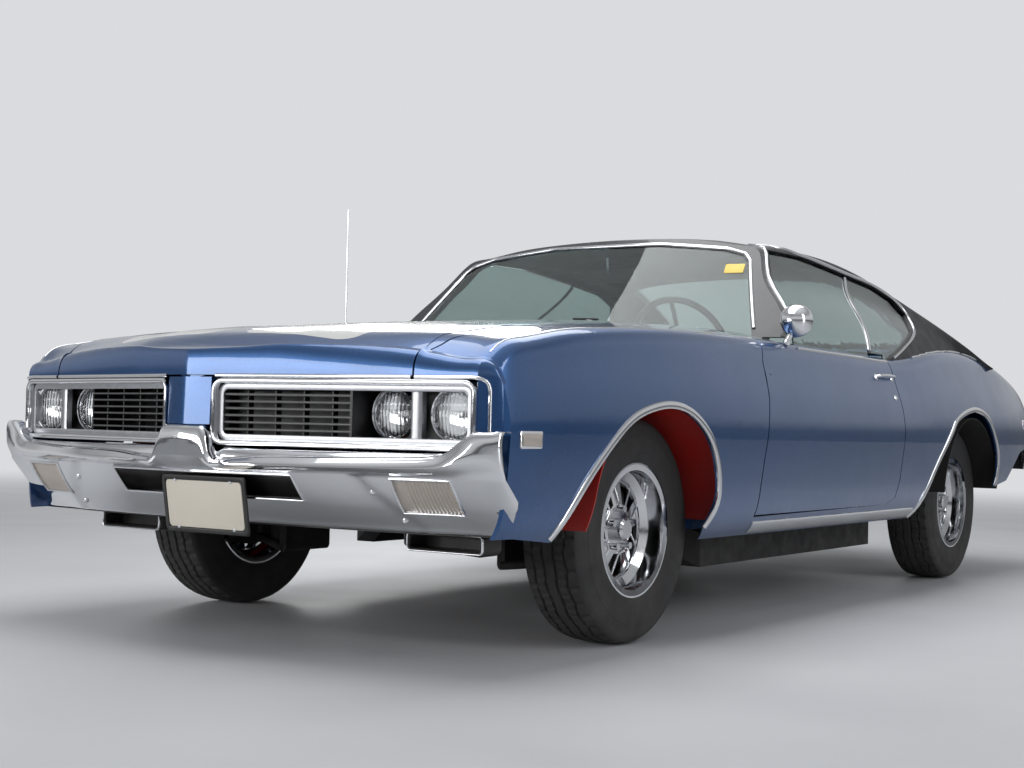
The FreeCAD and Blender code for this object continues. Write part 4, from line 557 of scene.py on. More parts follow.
class Form:
    """Gathers points and faces of one piece."""

    def __init__(self):
        self.points, self.faces = [], []

    def rings(self, rings, closed=False, capped=True):
        """Joins rings of points into a skin, round and round if closed."""
        base, count = len(self.points), len(rings[0])
        for ring in rings:
            self.points += ring
        spans = len(rings) if closed else len(rings) - 1
        for i in range(spans):
            a, b = base + i * count, base + (i + 1) % len(rings) * count
            for j in range(count):
                k = (j + 1) % count
                self.faces.append((a + j, a + k, b + k, b + j))
        if capped and not closed:
            self.faces.append(tuple(base + j for j in reversed(range(count))))
            last = base + (len(rings) - 1) * count
            self.faces.append(tuple(last + j for j in range(count)))
        return self

    def made(self, name, finish, body, slot=None, sharp=35):
        return build(name, self.points, self.faces, finish, body, slot, sharp)


# A direction that no bar runs along
ROPE_UP = Vector((0.31, 0.17, 0.93))


def frames_along(spots, closed=False):
    """(place, out, side) at each spot of a line of (place, out), square to the line."""
    made = []
    count = len(spots)
    for k, (place, out) in enumerate(spots):
        before = spots[(k - 1) % count][0] if closed or k else place
        after = spots[(k + 1) % count][0] if closed or k + 1 < count else place
        along = (after - before).normalized()
        side = out.cross(along).normalized()
        made.append((place, along.cross(side).normalized(), side))
    return made


def bead(name, spots, width, height, finish, body, slot=None, closed=False, sink=0.0015, flat=1.0):
    """A rounded moulding laid along spots of (place, out)."""
    rings = []
    for place, out, side in frames_along(spots, closed):
        ring = [place + side * (-width / 2) - out * sink]
        for k in range(9):
            turn = math.pi * k / 8
            rise = math.sin(turn) ** flat
            ring.append(place - side * (math.cos(turn) * width / 2) + out * (rise * height))
        ring.append(place + side * (width / 2) - out * sink)
        rings.append(ring)
    return Form().rings(rings, closed).made(name, finish, body, slot)


def circle(centre, right, up, radius, steps, flat=1.0):
    """Points round a circle, or round an oval where flat isn't 1."""
    turns = [2 * math.pi * k / steps for k in range(steps)]
    return [centre + right * (math.cos(t) * radius) + up * (math.sin(t) * radius * flat) for t in turns]


def rope(name, points, radius, finish, body, flat=1.0):
    """A round or oval bar along points; radius is one number or a list with one for each point."""
    radii = radius if isinstance(radius, list) else [radius] * len(points)
    frames = frames_along([(Vector(p), ROPE_UP) for p in points])
    rings = [circle(place, side, up, size, 12, flat) for (place, up, side), size in zip(frames, radii)]
    return Form().rings(rings).made(name, finish, body)


def axes(way):
    """Two directions square to way: to its right, and as far up as can be."""
    way = Vector(way).normalized()
    up = Vector((0, 0, 1)) if abs(way.z) <= 0.95 else Vector((0, 1, 0))
    right = up.cross(way).normalized()
    return right, way.cross(right).normalized()


def turned(name, profile, centre, way, finish, body, slot=None, steps=40, closed=False, sharp=35):
    """A form turned about an axis, from (radius, height) pairs that start and end at the axis.

    If closed, the pairs go round a ring's section instead.
    """
    right, up = axes(way)
    way, centre = Vector(way).normalized(), Vector(centre)
    rings = [circle(centre + way * height, right, up, radius, steps) for radius, height in profile]
    return Form().rings(rings, closed, capped=not closed).made(name, finish, body, slot, sharp)


def round_corners(width, height, corner, steps=5):
    """A rectangle with round corners about (0, 0), anticlockwise."""
    line = []
    for x, y, start in ((1, 1, 0), (-1, 1, 90), (-1, -1, 180), (1, -1, 270)):
        for k in range(steps + 1):
            turn = math.radians(start + 90 * k / steps)
            line.append(Vector((
                x * (width / 2 - corner) + math.cos(turn) * corner,
                y * (height / 2 - corner) + math.sin(turn) * corner)))
    return line


def tile(name, centre, way, width, height, depth, corner, finish, body, slot=None, edge=0.0015):
    """A thin block with round corners and a softened edge, facing way."""
    right, up = axes(way)
    way, centre = Vector(way).normalized(), Vector(centre)

    def ring(shrink, rise):
        outline = round_corners(width - 2 * shrink, height - 2 * shrink, max(corner - shrink, 0.0004))
        return [centre + right * p.x + up * p.y + way * rise for p in outline]

    top = depth / 2
    rings = [ring(0, -top), ring(0, top - edge), ring(edge * 0.3, top - edge * 0.3), ring(edge, top)]
    return Form().rings(rings).made(name, finish, body, slot)


def grids(rows, columns, place):
    """Two grids of points for between; place gives the (front, back) points of a row and a column."""
    pairs = [[place(row, column) for column in columns] for row in rows]
    return [[p[0] for p in line] for line in pairs], [[p[1] for p in line] for line in pairs]


def between(name, front, back, finish, body, slot=None, missing=(), sharp=35):
    """A solid between two grids of points, with cells left out as openings."""
    rows, columns = len(front), len(front[0])
    points = [p for row in front for p in row] + [p for row in back for p in row]
    half = rows * columns
    present = {(i, j) for i in range(rows - 1) for j in range(columns - 1)} - set(missing)
    faces = []
    for i, j in present:
        a, b, c, d = i * columns + j, i * columns + j + 1, (i + 1) * columns + j + 1, (i + 1) * columns + j
        faces.append((a, b, c, d))
        faces.append((a + half, d + half, c + half, b + half))
        for p, q, beside in ((a, b, (i - 1, j)), (b, c, (i, j + 1)), (c, d, (i + 1, j)), (d, a, (i, j - 1))):
            if beside not in present:
                faces.append((q, p, p + half, q + half))
    return build(name, points, faces, finish, body, slot, sharp)


# Mouldings along the sides
FRONT_ARCH_SHARES = ((-1.80, 0.60), (-1.656, 0.988), (-1.416, 1.317), (-1.117, 1.617), (-0.778, 1.877),
                     (-0.455, 2.006), (-0.018, 2.066), (0.356, 2.003), (0.665, 1.802), (0.847, 1.530),
                     (0.886, 1.257), (0.800, 1.060), (0.745, 0.900), (0.745, 0.60))
REAR_ARCH_SHARES = ((-2.35, 0.60), (-2.174, 0.925), (-1.967, 1.219), (-1.614, 1.560), (-1.156, 1.898),
                    (-0.802, 2.090), (-0.096, 2.200), (0.437, 2.111), (0.716, 1.841), (0.880, 1.569),
                    (0.865, 1.359), (0.780, 1.150), (0.700, 0.60))
WINDOW_SHARES = ((-0.190, 0.985), (-0.1000, 1.302), (0.019, 1.307), (0.179, 1.274), (0.285, 1.250),
                 (0.345, 1.210), (0.371, 1.146), (0.345, 1.074), (0.254, 0.999), (0.174, 0.940))
SCREEN_SHARES = ((0.770, 0.985), (0.650, 1.245), (0.622, 1.272), (0.540, 1.296), (0.250, 1.326))
CREST_WIDTH_SHARES = ((-0.936, 0.879), (-0.910, 0.906), (-0.877, 0.919), (-0.809, 0.931), (-0.732, 0.936),
                      (-0.604, 0.935), (-0.488, 0.929), (-0.320, 0.920))
BACKLIGHT_SHARES = ((0.610, 0.586), (0.520, 0.300), (0.480, 0.290))
QUARTER_EDGE = ((0.218, 0.950), (0.468, 1.268))
BELT_START, BELT_RUN, BELT_ACROSS, BELT_LOW = -0.52, 0.86, 0.884, 0.88
SEAM_START, SEAM_RUN, SEAM_TOP, SEAM_STEP = 0.258, 0.40, 1.16, 0.003
ROCKER_ENDS, ROCKER_HEIGHT = (-0.372, 0.228), 0.322
ARCHES = (("front", FRONT_ARCH_SHARES, FRONT_AXLE), ("rear", REAR_ARCH_SHARES, REAR_AXLE))


def laid_across(line, surface, sign):
    """Spots where a line that's drawn from the side falls on a surface."""
    return met(surface.across(sign, p.x, p.y) for p in line)


def arch_mouldings():
    for side, sign in SIDES:
        for label, shares, axle in ARCHES:
            line = through([(axle + y * TYRE, z * TYRE) for y, z in shares], 7)
            panel = Surface("fender_" + side if label == "front" else "body_shell")
            spots = [s for s in laid_across(pushed(line, 0.011), panel, sign) if abs(s[0].x) > 0.86 * WIDE]
            bead(f"arch_moulding_{label}_{side}", spots, 0.024, 0.0065, bright_trim, "car", flat=0.6)


def window_mouldings():
    """Bright lines over the side windows, down each quarter glass and along each door's belt."""
    around, glass = Surface("roof", "windshield_frame"), Surface("quarter_glass")
    for side, sign in SIDES:
        line = pushed(through([(y * LONG, z * TALL) for y, z in WINDOW_SHARES], 7), 0.008)
        spots = [s for s in laid_across(line, around, sign) if abs(s[0].x) > 0.55 * WIDE]
        bead(f"drip_moulding_{side}", spots, 0.014, 0.007, bright_trim, "car")
        spots = laid_across(straight(QUARTER_EDGE, 0.03), glass, sign)
        bead(f"glass_divider_{side}", spots, 0.022, 0.006, bright_trim, "car", flat=0.6)
        door = Surface("door_" + side)
        belt = met(door.above(sign * BELT_ACROSS, BELT_START + BELT_RUN * k / 29) for k in range(30))
        spots = [s for s in belt if s[0].z > BELT_LOW]
        bead(f"belt_moulding_{side}", spots, 0.012, 0.005, bright_trim, side + "_door")


def roof_seam_mouldings():
    """A bright line along the top of each rear side panel, under the roof."""
    shell = Surface("roof", "body_shell")
    for side, sign in SIDES:
        spots = []
        for k in range(34):
            y = (SEAM_START + SEAM_RUN * k / 33) * LONG
            found = (shell.across(sign, y, SEAM_TOP - step * SEAM_STEP) for step in range(90))
            spots.append(next((hit for hit in found if hit and hit[2] == "body_shell"), None))
        bead(f"roof_edge_moulding_{side}", met(spots), 0.012, 0.006, bright_trim, "car")


def screen_mouldings():
    """Bright lines round the windshield and the rear window."""
    pillars, roof = Surface("windshield_frame"), Surface("roof")
    half = [(x * WIDE, z * TALL) for x, z in SCREEN_SHARES]
    line = pushed(straight(half + [(-x, z) for x, z in reversed(half)], 0.03), -0.008)
    bead("windshield_moulding", met(pillars.ahead(p.x, p.y) for p in line), 0.015, 0.006, bright_trim, "car")
    half = [(x * WIDE, y * LONG) for x, y in BACKLIGHT_SHARES]
    line = pushed(looped(half + [(-x, y) for x, y in reversed(half)], 0.03), 0.011, True)
    spots = met(roof.above(p.x, p.y) for p in line)
    bead("rear_window_moulding", spots, 0.022, 0.006, bright_trim, "car", closed=True)


def rocker_mouldings():
    shell = Surface("body_shell")
    line = straight([(share * LONG, ROCKER_HEIGHT) for share in ROCKER_ENDS], 0.06)
    for side, sign in SIDES:
        spots = laid_across(line, shell, sign)
        bead(f"rocker_moulding_{side}", spots, 0.045, 0.006, bright_trim, "car", flat=0.35)


arch_mouldings()
window_mouldings()
roof_seam_mouldings()
screen_mouldings()
rocker_mouldings()

# Nose of the hood and fenders, grille frames and lamps
NOSE_SHARES = ((0, -0.985), (0.109, -0.977), (0.695, -0.926), (0.880, -0.915), (0.951, -0.905))
NOSE_HALF, NOSE_REACH, FRAME_HALF, FRAME_REACH = 0.084, -2.524, 0.851, -2.380
FRAME_LOW, FRAME_HIGH, LIP_HEIGHT = 0.563, 0.742, 0.7505
HOOD_HALF, FENDER_START, CORNER_END = 0.6710, 0.6765, 0.896
CREST_PLACE, CREST_BLEND, CREST_DROP = 0.40, 0.030, 0.16
SKIN, SKIN_SEAT, SKIN_TUCK, CORNER_LOW = 0.004, 0.0016, -0.0010, 0.600
HOOD_ROWS = (0.44, 0.40, 0.36, 0.32, 0.28, 0.24, 0.20, 0.16, 0.12, 0.09, 0.06, 0.035, 0.018, 0.008, 0.003)
FENDER_ROWS = (0.010, 0.006, 0.002)
LIP_TRIM = LIP_HEIGHT - 0.002
FENDER_LIP = ((FENDER_START + 0.002, LIP_TRIM), (0.76, LIP_TRIM), (0.835, LIP_TRIM), (0.862, 0.742),
              (0.872, 0.722), (0.873, 0.68), (0.873, 0.612))
BLOCK_LOW, BLOCK_HIGH, BLOCK_FACE, BLOCK_BACK = 0.617, 0.7445, -2.546, -2.490


def frame_line(x):
    return NOSE_REACH + (FRAME_REACH - NOSE_REACH) * (abs(x) - NOSE_HALF) / (FRAME_HALF - NOSE_HALF)


def frame_out(sign):
    return Vector((sign * (FRAME_REACH - NOSE_REACH), -(FRAME_HALF - NOSE_HALF), 0)).normalized()


def lip_line(x):
    """How far forward the painted nose reaches above the grilles."""
    if abs(x) <= FRAME_HALF:
        return frame_line(x) + 0.001
    part = (abs(x) - FRAME_HALF) / (CORNER_END - FRAME_HALF)
    return lerp(FRAME_REACH, smooth(NOSE_SHARES, CORNER_END / WIDE) * LONG - 0.002, part)


def levelled(z, surface, x, y):
    """A height raised to that of the hood's two crests, so that its middle doesn't sink towards the nose."""
    if abs(x) >= CREST_PLACE:
        return z
    brink = smooth(NOSE_SHARES, CREST_PLACE / WIDE) * LONG + 0.004
    crest = surface.above(CREST_PLACE, max(y, brink))[0].z - max(0.0, brink - y) * CREST_DROP
    gap = crest - z
    soft = CREST_BLEND * min(1.0, (CREST_PLACE - abs(x)) / 0.14) + 0.00001
    if gap <= -soft:
        return z
    if gap >= soft:
        return crest
    return z + (gap + soft) ** 2 / (4 * soft)


def nose_skin(name, places, behind, surface, finish, body, search):
    """The painted nose, rolled down from the panels behind it to the lip over the grilles."""
    front, back = [], []
    for x in places:
        edge = smooth(NOSE_SHARES, abs(x) / WIDE) * LONG
        line, under = [], []
        for k, distance in enumerate(behind):
            found = surface.above(x, edge + distance)
            for step in (0.01, 0.02, 0.03, 0.05):
                found = found or surface.above(x * (1 + search * step), edge + distance + step / 2)
            if not found:
                continue
            high = levelled(found[0].z, surface, x, edge + distance) if search < 0 else found[0].z
            z = high + (SKIN_SEAT if k else SKIN_TUCK)
            line.append(Vector((x, edge + distance, z)))
            under.append(Vector((x, edge + distance + 0.001, z - SKIN)))
        if len(line) < len(behind):
            continue
        top, lip = line[-1].z, lip_line(x)
        bottom = LIP_HEIGHT if abs(x) <= FRAME_HALF else CORNER_LOW
        reach = edge - lip
        drop = min(0.074, (top - LIP_HEIGHT) * 0.92) if top > LIP_HEIGHT + 0.004 else 0.002
        for k in range(1, 11):
            turn = math.pi / 2 * k / 10
            y, z = edge - reach * math.sin(turn), top - drop * (1 - math.cos(turn))
            line.append(Vector((x, y, z)))
            under.append(Vector((x, y + SKIN * math.sin(turn) + 0.0005, z - SKIN * math.cos(turn) - 0.0005)))
        line.append(Vector((x, lip, bottom)))
        under.append(Vector((x, lip + SKIN, bottom)))
        front.append(line)
        back.append(under)
    return between(name, front, back, finish, body)


def painted_nose():
    """The rolled front edge of the hood and of each fender, with a bright line along its lip."""
    places = [HOOD_HALF * (2 * k / 96 - 1) for k in range(97)]
    nose_skin("hood_nose", places, HOOD_ROWS, Surface("hood"), hood_paint, "hood_panel", -1)
    for side, sign in SIDES:
        line = spaced(FENDER_START, FRAME_HALF, 24) + spaced(FRAME_HALF + 0.0005, CORNER_END, 8)
        places = [sign * x for x in line]
        nose_skin("fender_nose_" + side, places, FENDER_ROWS, Surface("fender_" + side), body_paint, "car", 1)
        out = (frame_out(sign) + Vector((0, 0, 0.35))).normalized()
        line = spaced(0.092, HOOD_HALF - 0.003, 20)
        spots = [(Vector((sign * x, lip_line(x) + 0.001, LIP_TRIM)), out) for x in line]
        bead(f"hood_lip_moulding_{side}", spots, 0.011, 0.006, chrome, "hood_panel", sink=0.003)
        spots = []
        for p in through(FENDER_LIP, 6):
            lean = lerp(0, 1, (p.x - 0.80) / 0.07)
            way = Vector((sign * (0.18 + 0.5 * lean), -1, 0.35 * (1 - lean))).normalized()
            spots.append((Vector((sign * p.x, lip_line(p.x) + 0.001, p.y)), way))
        bead(f"fender_lip_moulding_{side}", spots, 0.011, 0.006, chrome, "car", sink=0.003)


def grille_frame(name, sign, inset, ahead, width, height, sink, finish, corner):
    """A bright outline inside one of the two openings."""
    centre_x, centre_z = (NOSE_HALF + FRAME_HALF) / 2, (FRAME_LOW + FRAME_HIGH) / 2
    ring = round_corners(FRAME_HALF - NOSE_HALF - 2 * inset, FRAME_HIGH - FRAME_LOW - 2 * inset, corner, 6)
    out = frame_out(sign)
    spots = []
    for p in looped(ring, 0.05):
        x = sign * (centre_x + p.x)
        spots.append((Vector((x, frame_line(x), centre_z + p.y)) + out * ahead, out))
    return bead(name, spots, width, height, finish, "car", "bright_trim", closed=True, sink=sink, flat=0.35)


def nose_block():
    """The painted block between the two grilles."""
    def place(rise, across):
        x, z = across * (NOSE_HALF - 0.004), lerp(BLOCK_LOW, BLOCK_HIGH, rise)
        y = BLOCK_FACE + 0.018 * abs(x / NOSE_HALF) ** 1.4 + 0.004 * rise
        return Vector((x, y, z)), Vector((x, BLOCK_BACK, z))

    front, back = grids([k / 8 for k in range(9)], [k / 8 - 1 for k in range(17)], place)
    made = between("nose_block", front, back, body_paint, "car")
    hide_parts("grille_surround")


LAMP_PLACES, LAMP_HEIGHT, LAMP_FACE, LAMP_RADIUS, BEZEL_RADIUS = (0.574, 0.766), 0.655, -2.366, 0.066, 0.073
BEZEL = ((LAMP_RADIUS - 0.003, -0.014), (LAMP_RADIUS - 0.001, -0.003), (LAMP_RADIUS + 0.002, 0.0),
         (BEZEL_RADIUS - 0.001, -0.004), (BEZEL_RADIUS, -0.012), (BEZEL_RADIUS, -0.040),
         (LAMP_RADIUS, -0.040))
BULB = ((0.0005, -0.026), (0.008, -0.028), (0.010, -0.034), (0.007, -0.045), (0.0005, -0.046))
LAMP_BAR_NEAR, LAMP_BAR_FAR, LAMP_BAR_EDGE = 0.656, 0.686, 0.012
LAMP_SIDE = ((0.8475, -2.376), (0.8475, -2.33), (0.8485, -2.31))
BAR_OUTLINE = ((-0.001, -0.001), (0.001, -0.001), (0.0009, 0.0006), (0, 0.001), (-0.0009, 0.0006))
POST_OUTLINE = ((-0.002, 0.02), (0.002, 0.02), (0.002, 0), (-0.002, 0))


def lens_finish():
    """Sealed-beam glass with upright flutes."""
    made = clear("fluted_glass", "lamp_glass", rgb(0.96, 0.97, 0.97), 0.01, 0.04)
    place = node(made.tree, "ShaderNodeTexCoord")
    waves = []
    for direction, scale, distortion in (("X", 26.0, 1.2), ("Z", 9.0, 0.4)):
        values = {"Vector": place.outputs["Object"], "Scale": scale, "Distortion": distortion, "Detail": 1.0}
        wave = node(made.tree, "ShaderNodeTexWave", values, bands_direction=direction)
        waves.append(wave.outputs["Fac"])
    made.bump(maths(made.tree, "ADD", *waves), 0.7, 0.002)
    return made


def bowl(depth, rise):
    """A lamp's curve from its middle to its rim."""
    turns = [math.pi / 2 * k / 8 for k in range(9)]
    return [(LAMP_RADIUS * math.sin(t), depth + rise * math.cos(t)) for t in turns]


def thin_shell(outside, inside):
    """The profile of a thin turned shell."""
    return [(0.0005, outside[0][1])] + outside[1:] + inside[:-1] + [(0.0005, inside[-1][1])]


def lamp_bar(side, sign):
    """The bright upright between a grille's bars and its lamps."""
    low, high = FRAME_LOW + LAMP_BAR_EDGE, FRAME_HIGH - LAMP_BAR_EDGE

    def place(z, part):
        edge = max(0.0, 1 - min(z - FRAME_LOW - LAMP_BAR_EDGE, high - z) / 0.022)
        flare = 0.020 * (1 - math.sqrt(max(0.0, 1 - edge ** 2)))
        x = lerp(LAMP_BAR_NEAR - flare, LAMP_BAR_FAR + flare, part)
        y = frame_line(x) + 0.020 + 0.004 * abs(part * 2 - 1) ** 3
        return Vector((sign * x, y, z)), Vector((sign * x, y + 0.020, z))

    front, back = grids(spaced(low, high, 20), [k / 6 for k in range(7)], place)
    between(f"lamp_bar_{side}", front, back, satin_silver, "car")


def lamp_side(side, sign):
    """The bright liner beyond the outer lamp."""
    def place(z, at):
        return Vector((sign * at[0], at[1], z)), Vector((sign * (at[0] + 0.003), at[1], z))

    front, back = grids(spaced(FRAME_LOW + 0.006, FRAME_HIGH - 0.006, 2), LAMP_SIDE, place)
    between(f"lamp_side_{side}", front, back, satin_silver, "car")


def headlamps():
    """Two round lamps on each side, each with its bezel, lens, reflector and bulb."""
    glass, way, lenses = lens_finish(), Vector((0, -1, 0)), []
    for side, sign in SIDES:
        for label, across in zip(("inner", "outer"), LAMP_PLACES):
            at, tail = Vector((sign * across, LAMP_FACE, LAMP_HEIGHT)), f"{label}_{side}"
            turned("lamp_bezel_" + tail, BEZEL, at, way, chrome, "car", steps=56, closed=True)
            dome, dish = bowl(-0.016, 0.014), bowl(-0.022, -0.026)
            lens = thin_shell(dome, [(r * 0.96, h - 0.0035) for r, h in reversed(dome)])
            lenses.append(turned("lamp_lens_" + tail, lens, at, way, glass, "car", steps=56))
            mirror = thin_shell(dish, [(r + 0.002, h - 0.002) for r, h in reversed(dish)])
            turned("lamp_reflector_" + tail, mirror, at, way, chrome, "car", steps=48)
            turned("lamp_bulb_" + tail, BULB, at, way, satin_silver, "car", "chrome", steps=20)
        lamp_bar(side, sign)
        lamp_side(side, sign)
    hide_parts("headlamps")


def grille_edges():
    """Bright edges on the grilles' bars, and the dark posts behind them."""
    low, high = FRAME_LOW + 0.015, FRAME_HIGH - 0.015
    pitch = (high - low) / 8
    for side, sign in SIDES:
        out = frame_out(sign)
        form = Form()
        for k in range(8):
            z = low + pitch * (k + 0.5)
            rings = []
            for x in (NOSE_HALF + 0.020, 0.492):
                at = Vector((sign * x, frame_line(x) + 0.014, z))
                rings.append([at + Vector((0, 0, dz)) + out * d for dz, d in BAR_OUTLINE])
            form.rings(rings)
        form.made(f"grille_edges_{side}", grille_edge, "car")
        form = Form()
        for k in range(4):
            x = NOSE_HALF + 0.090 + k * 0.085
            places = [Vector((sign * x, frame_line(x) + 0.026, z)) for z in (low, high)]
            form.rings([[at + Vector((dx, dy, 0)) for dx, dy in POST_OUTLINE] for at in places])
        form.made(f"grille_posts_{side}", grille_black, "car")


painted_nose()
for side, sign in SIDES:
    grille_frame(f"grille_frame_{side}", sign, 0.007, 0.0, 0.014, 0.010, 0.036, chrome, 0.026)
    grille_frame(f"grille_inner_frame_{side}", sign, 0.021, -0.012, 0.018, 0.004, 0.024, satin_silver, 0.022)
nose_block()
headlamps()
grille_edges()


# Bumpers
BUMPER_SHARES = ((0, -1), (0.414, -0.9925), (0.698, -0.9635), (0.905, -0.940), (0.958, -0.910),
                 (0.962, -0.895))
CREASE_SHARES = ((0, -0.984), (0.348, -0.972), (0.550, -0.957), (0.820, -0.938), (0.935, -0.915),
                 (0.945, -0.895))
LIP_SHARES = ((0, -0.914), (0.348, -0.909), (0.610, -0.900), (0.800, -0.880), (0.890, -0.872),
              (0.900, -0.860))
DIP_SHARES = ((0.075, 1), (0.088, 0.93), (0.105, 0.74), (0.122, 0.670), (0.160, 0.675), (0.30, 0.715),
              (0.62, 0.735), (0.80, 0.77), (0.87, 0.93), (0.90, 1))
END_REACH = ((0.347, 0.886), (0.374, 0.896), (0.405, 0.912), (0.436, 0.928), (0.500, 0.931), (0.620, 0.931))
END_BACK = ((0.347, -2.262), (0.374, -2.280), (0.405, -2.291), (0.436, -2.300), (0.470, -2.335),
            (0.503, -2.366), (0.560, -2.380), (0.623, -2.388))
BUMPER_LOW, BUMPER_CREASE, BUMPER_ROLL, BUMPER_TOP = 0.347, 0.497, 0.540, 0.615
SLOT_HALF, SLOT_LOW, SLOT_HIGH = 0.337, 0.422, 0.490
TURN_NEAR, TURN_FAR, TURN_LOW = 0.631, 0.795, 0.402
BUMPER_THICK, BUMPER_HOLLOW, BUMPER_SWELL, BUMPER_TUCK, BUMPER_FOLD = 0.008, 0.020, 0.012, 0.016, 0.006
SHELF_LEVEL, SHELF_REACH, SHELF_MIDDLE = 0.5585, 0.030, -2.526
RIDGE_LOW, RIDGE_HIGH, RIDGE_NEAR, RIDGE_FAR = 0.370, 0.513, 0.506, 0.640
RIDGE_SOFT, RIDGE_RISE = 0.022, 0.010
LENS_ROWS, LENS_COLUMNS, LENS_EDGE, RIB_COLUMNS, RIB_DEPTH = 8, 96, 0.002, 6, 0.0022
LOW_ROWS = ((BUMPER_LOW, 0.010), (0.3475, 0.002), (0.350, -0.003), (0.354, -0.003), (0.358, 0.000),
            (0.366, 0.003), (0.380, 0.001), (TURN_LOW, 0), (0.412, 0), (SLOT_LOW, 0), (0.440, 0), (0.462, 0),
            (0.480, 0), (SLOT_HIGH, 0), (BUMPER_CREASE, 0))
SLOT_ROW, TURN_ROW, HOLE_TOP = 9, 7, 13
HIGH_ROWS = (0.08, 0.18, 0.30, 0.42, 0.54, 0.66, 0.76, 0.84, 0.90, 0.95, 1.0)
SHELF_ROWS = ((0.20, 0.10), (0.42, 0.18), (0.50, 0.62), (0.62, 0.80), (1.0, 1.0))
BOLT_PLACES, BOLT_WAY = ((0.560, 0.452), (0.610, 0.378)), Vector((0, -0.70, -0.71))
BOLT = ((0.0005, 0.007), (0.006, 0.005), (0.009, 0.001), (0.009, -0.004), (0.0005, -0.004))
SLOT_BACKING = ((SLOT_LOW - 0.012, 0.045), ((SLOT_LOW + SLOT_HIGH) / 2, 0.060), (SLOT_HIGH + 0.012, 0.040))
VALANCE_HEIGHT, VALANCE_HALF = 0.343, 0.815
VALANCE_STEP, VALANCE_BACK, VALANCE_BACK_MIDDLE = 0.62, -2.165, -2.085
SCOOP_ACROSS, SCOOP_HEIGHT, SCOOP_MOUTH = 0.606, 0.3125, -2.172
SCOOP = ((0.010, -2.098), (0.010, -2.168), (0.007, SCOOP_MOUTH), (0.002, SCOOP_MOUTH), (0.0, -2.168),
         (0.0, -2.088))


def plan_at(table, x):
    return smooth(table, abs(x) / WIDE) * LONG


def bumper_face(x, z):
    """How far forward the bumper's face is."""
    roll, crease, lip = plan_at(BUMPER_SHARES, x), plan_at(CREASE_SHARES, x), plan_at(LIP_SHARES, x)
    if z >= BUMPER_CREASE:
        y = lerp(crease, roll, (z - BUMPER_CREASE) / (BUMPER_ROLL - BUMPER_CREASE))
    else:
        part = (z - BUMPER_LOW) / (BUMPER_CREASE - BUMPER_LOW)
        y = lerp(lip, crease, part) - BUMPER_HOLLOW * math.sin(math.pi * max(0.0, part) ** 0.8)
    ridge = lerp(RIDGE_FAR, RIDGE_NEAR, (z - RIDGE_LOW) / (RIDGE_HIGH - RIDGE_LOW))
    if z < BUMPER_ROLL:
        rise = lerp(0, 1, (abs(x) - ridge) / RIDGE_SOFT)
        y -= RIDGE_RISE * rise * rise * (3 - 2 * rise) * lerp(1, 0, (z - BUMPER_CREASE) / 0.02)
    return y


def bent(start, corner, end, part):
    """The value that far along a bend that leaves start and reaches end towards their corner."""
    return (1 - part) ** 2 * start + 2 * part * (1 - part) * corner + part ** 2 * end


def bumper_spot(column, z):
    """(x, y) of the bumper's face in a column at a height; far columns wrap round to the side."""
    where, across = column
    if where == "at":
        return across, bumper_face(across, z)
    part = abs(across)
    near_y = bumper_face(TURN_FAR, z)
    end_x, end_y = smooth(END_REACH, z), smooth(END_BACK, z)
    x = bent(TURN_FAR, end_x + 0.002, end_x, part)
    y = bent(near_y, near_y + (end_x - TURN_FAR) * 0.16, end_y, part)
    return math.copysign(x, across), y


def bumper_place(row, column):
    """The front and back points of the bumper's skin in a row and a column."""
    kind, value, extra = row
    if kind == "low":
        z, depth, lower = value, BUMPER_THICK, 0
        x, y = bumper_spot(column, z)
        y += extra
    else:
        part = value if kind == "high" else 1
        dip = smooth(DIP_SHARES, abs(bumper_spot(column, BUMPER_ROLL)[0]) / WIDE)
        z = lerp(BUMPER_CREASE, BUMPER_LOW + (BUMPER_TOP - BUMPER_LOW) * dip, part)
        x, y = bumper_spot(column, lerp(BUMPER_CREASE, BUMPER_TOP, part))
        y -= BUMPER_SWELL * math.sin(math.pi * min(1, part / 0.8)) * lerp(1, 0, (abs(x) - 0.82) / 0.08)
        y += BUMPER_TUCK * (1 - math.sqrt(max(0.0, 1 - max(0.0, (part - 0.70) / 0.30) ** 2)))
        y += BUMPER_FOLD * max(0.0, 1 - part / 0.12)
        depth, lower = BUMPER_THICK, 0.003
    if kind == "shelf":
        rear = max(y + SHELF_REACH, frame_line(x) + 0.002) if abs(x) > NOSE_HALF else SHELF_MIDDLE
        if abs(x) > 0.80:
            rear = lerp(rear, y + SHELF_REACH, (abs(x) - 0.80) / 0.03)
        if abs(x) > 0.12:
            level = lerp(SHELF_LEVEL, z, (abs(x) - 0.78) / 0.06)
        else:
            level = lerp(z, SHELF_LEVEL, (abs(x) - 0.095) / 0.025)
        y, z = lerp(y, rear, value), lerp(z, level, extra)
        depth, lower = 0.002, 0.004
    y = max(y, -LONG)
    inward = -math.copysign(0.006 * (abs(x) / WIDE) ** 6, x)
    return Vector((x, y, z)), Vector((x + inward, y + depth, z - lower))


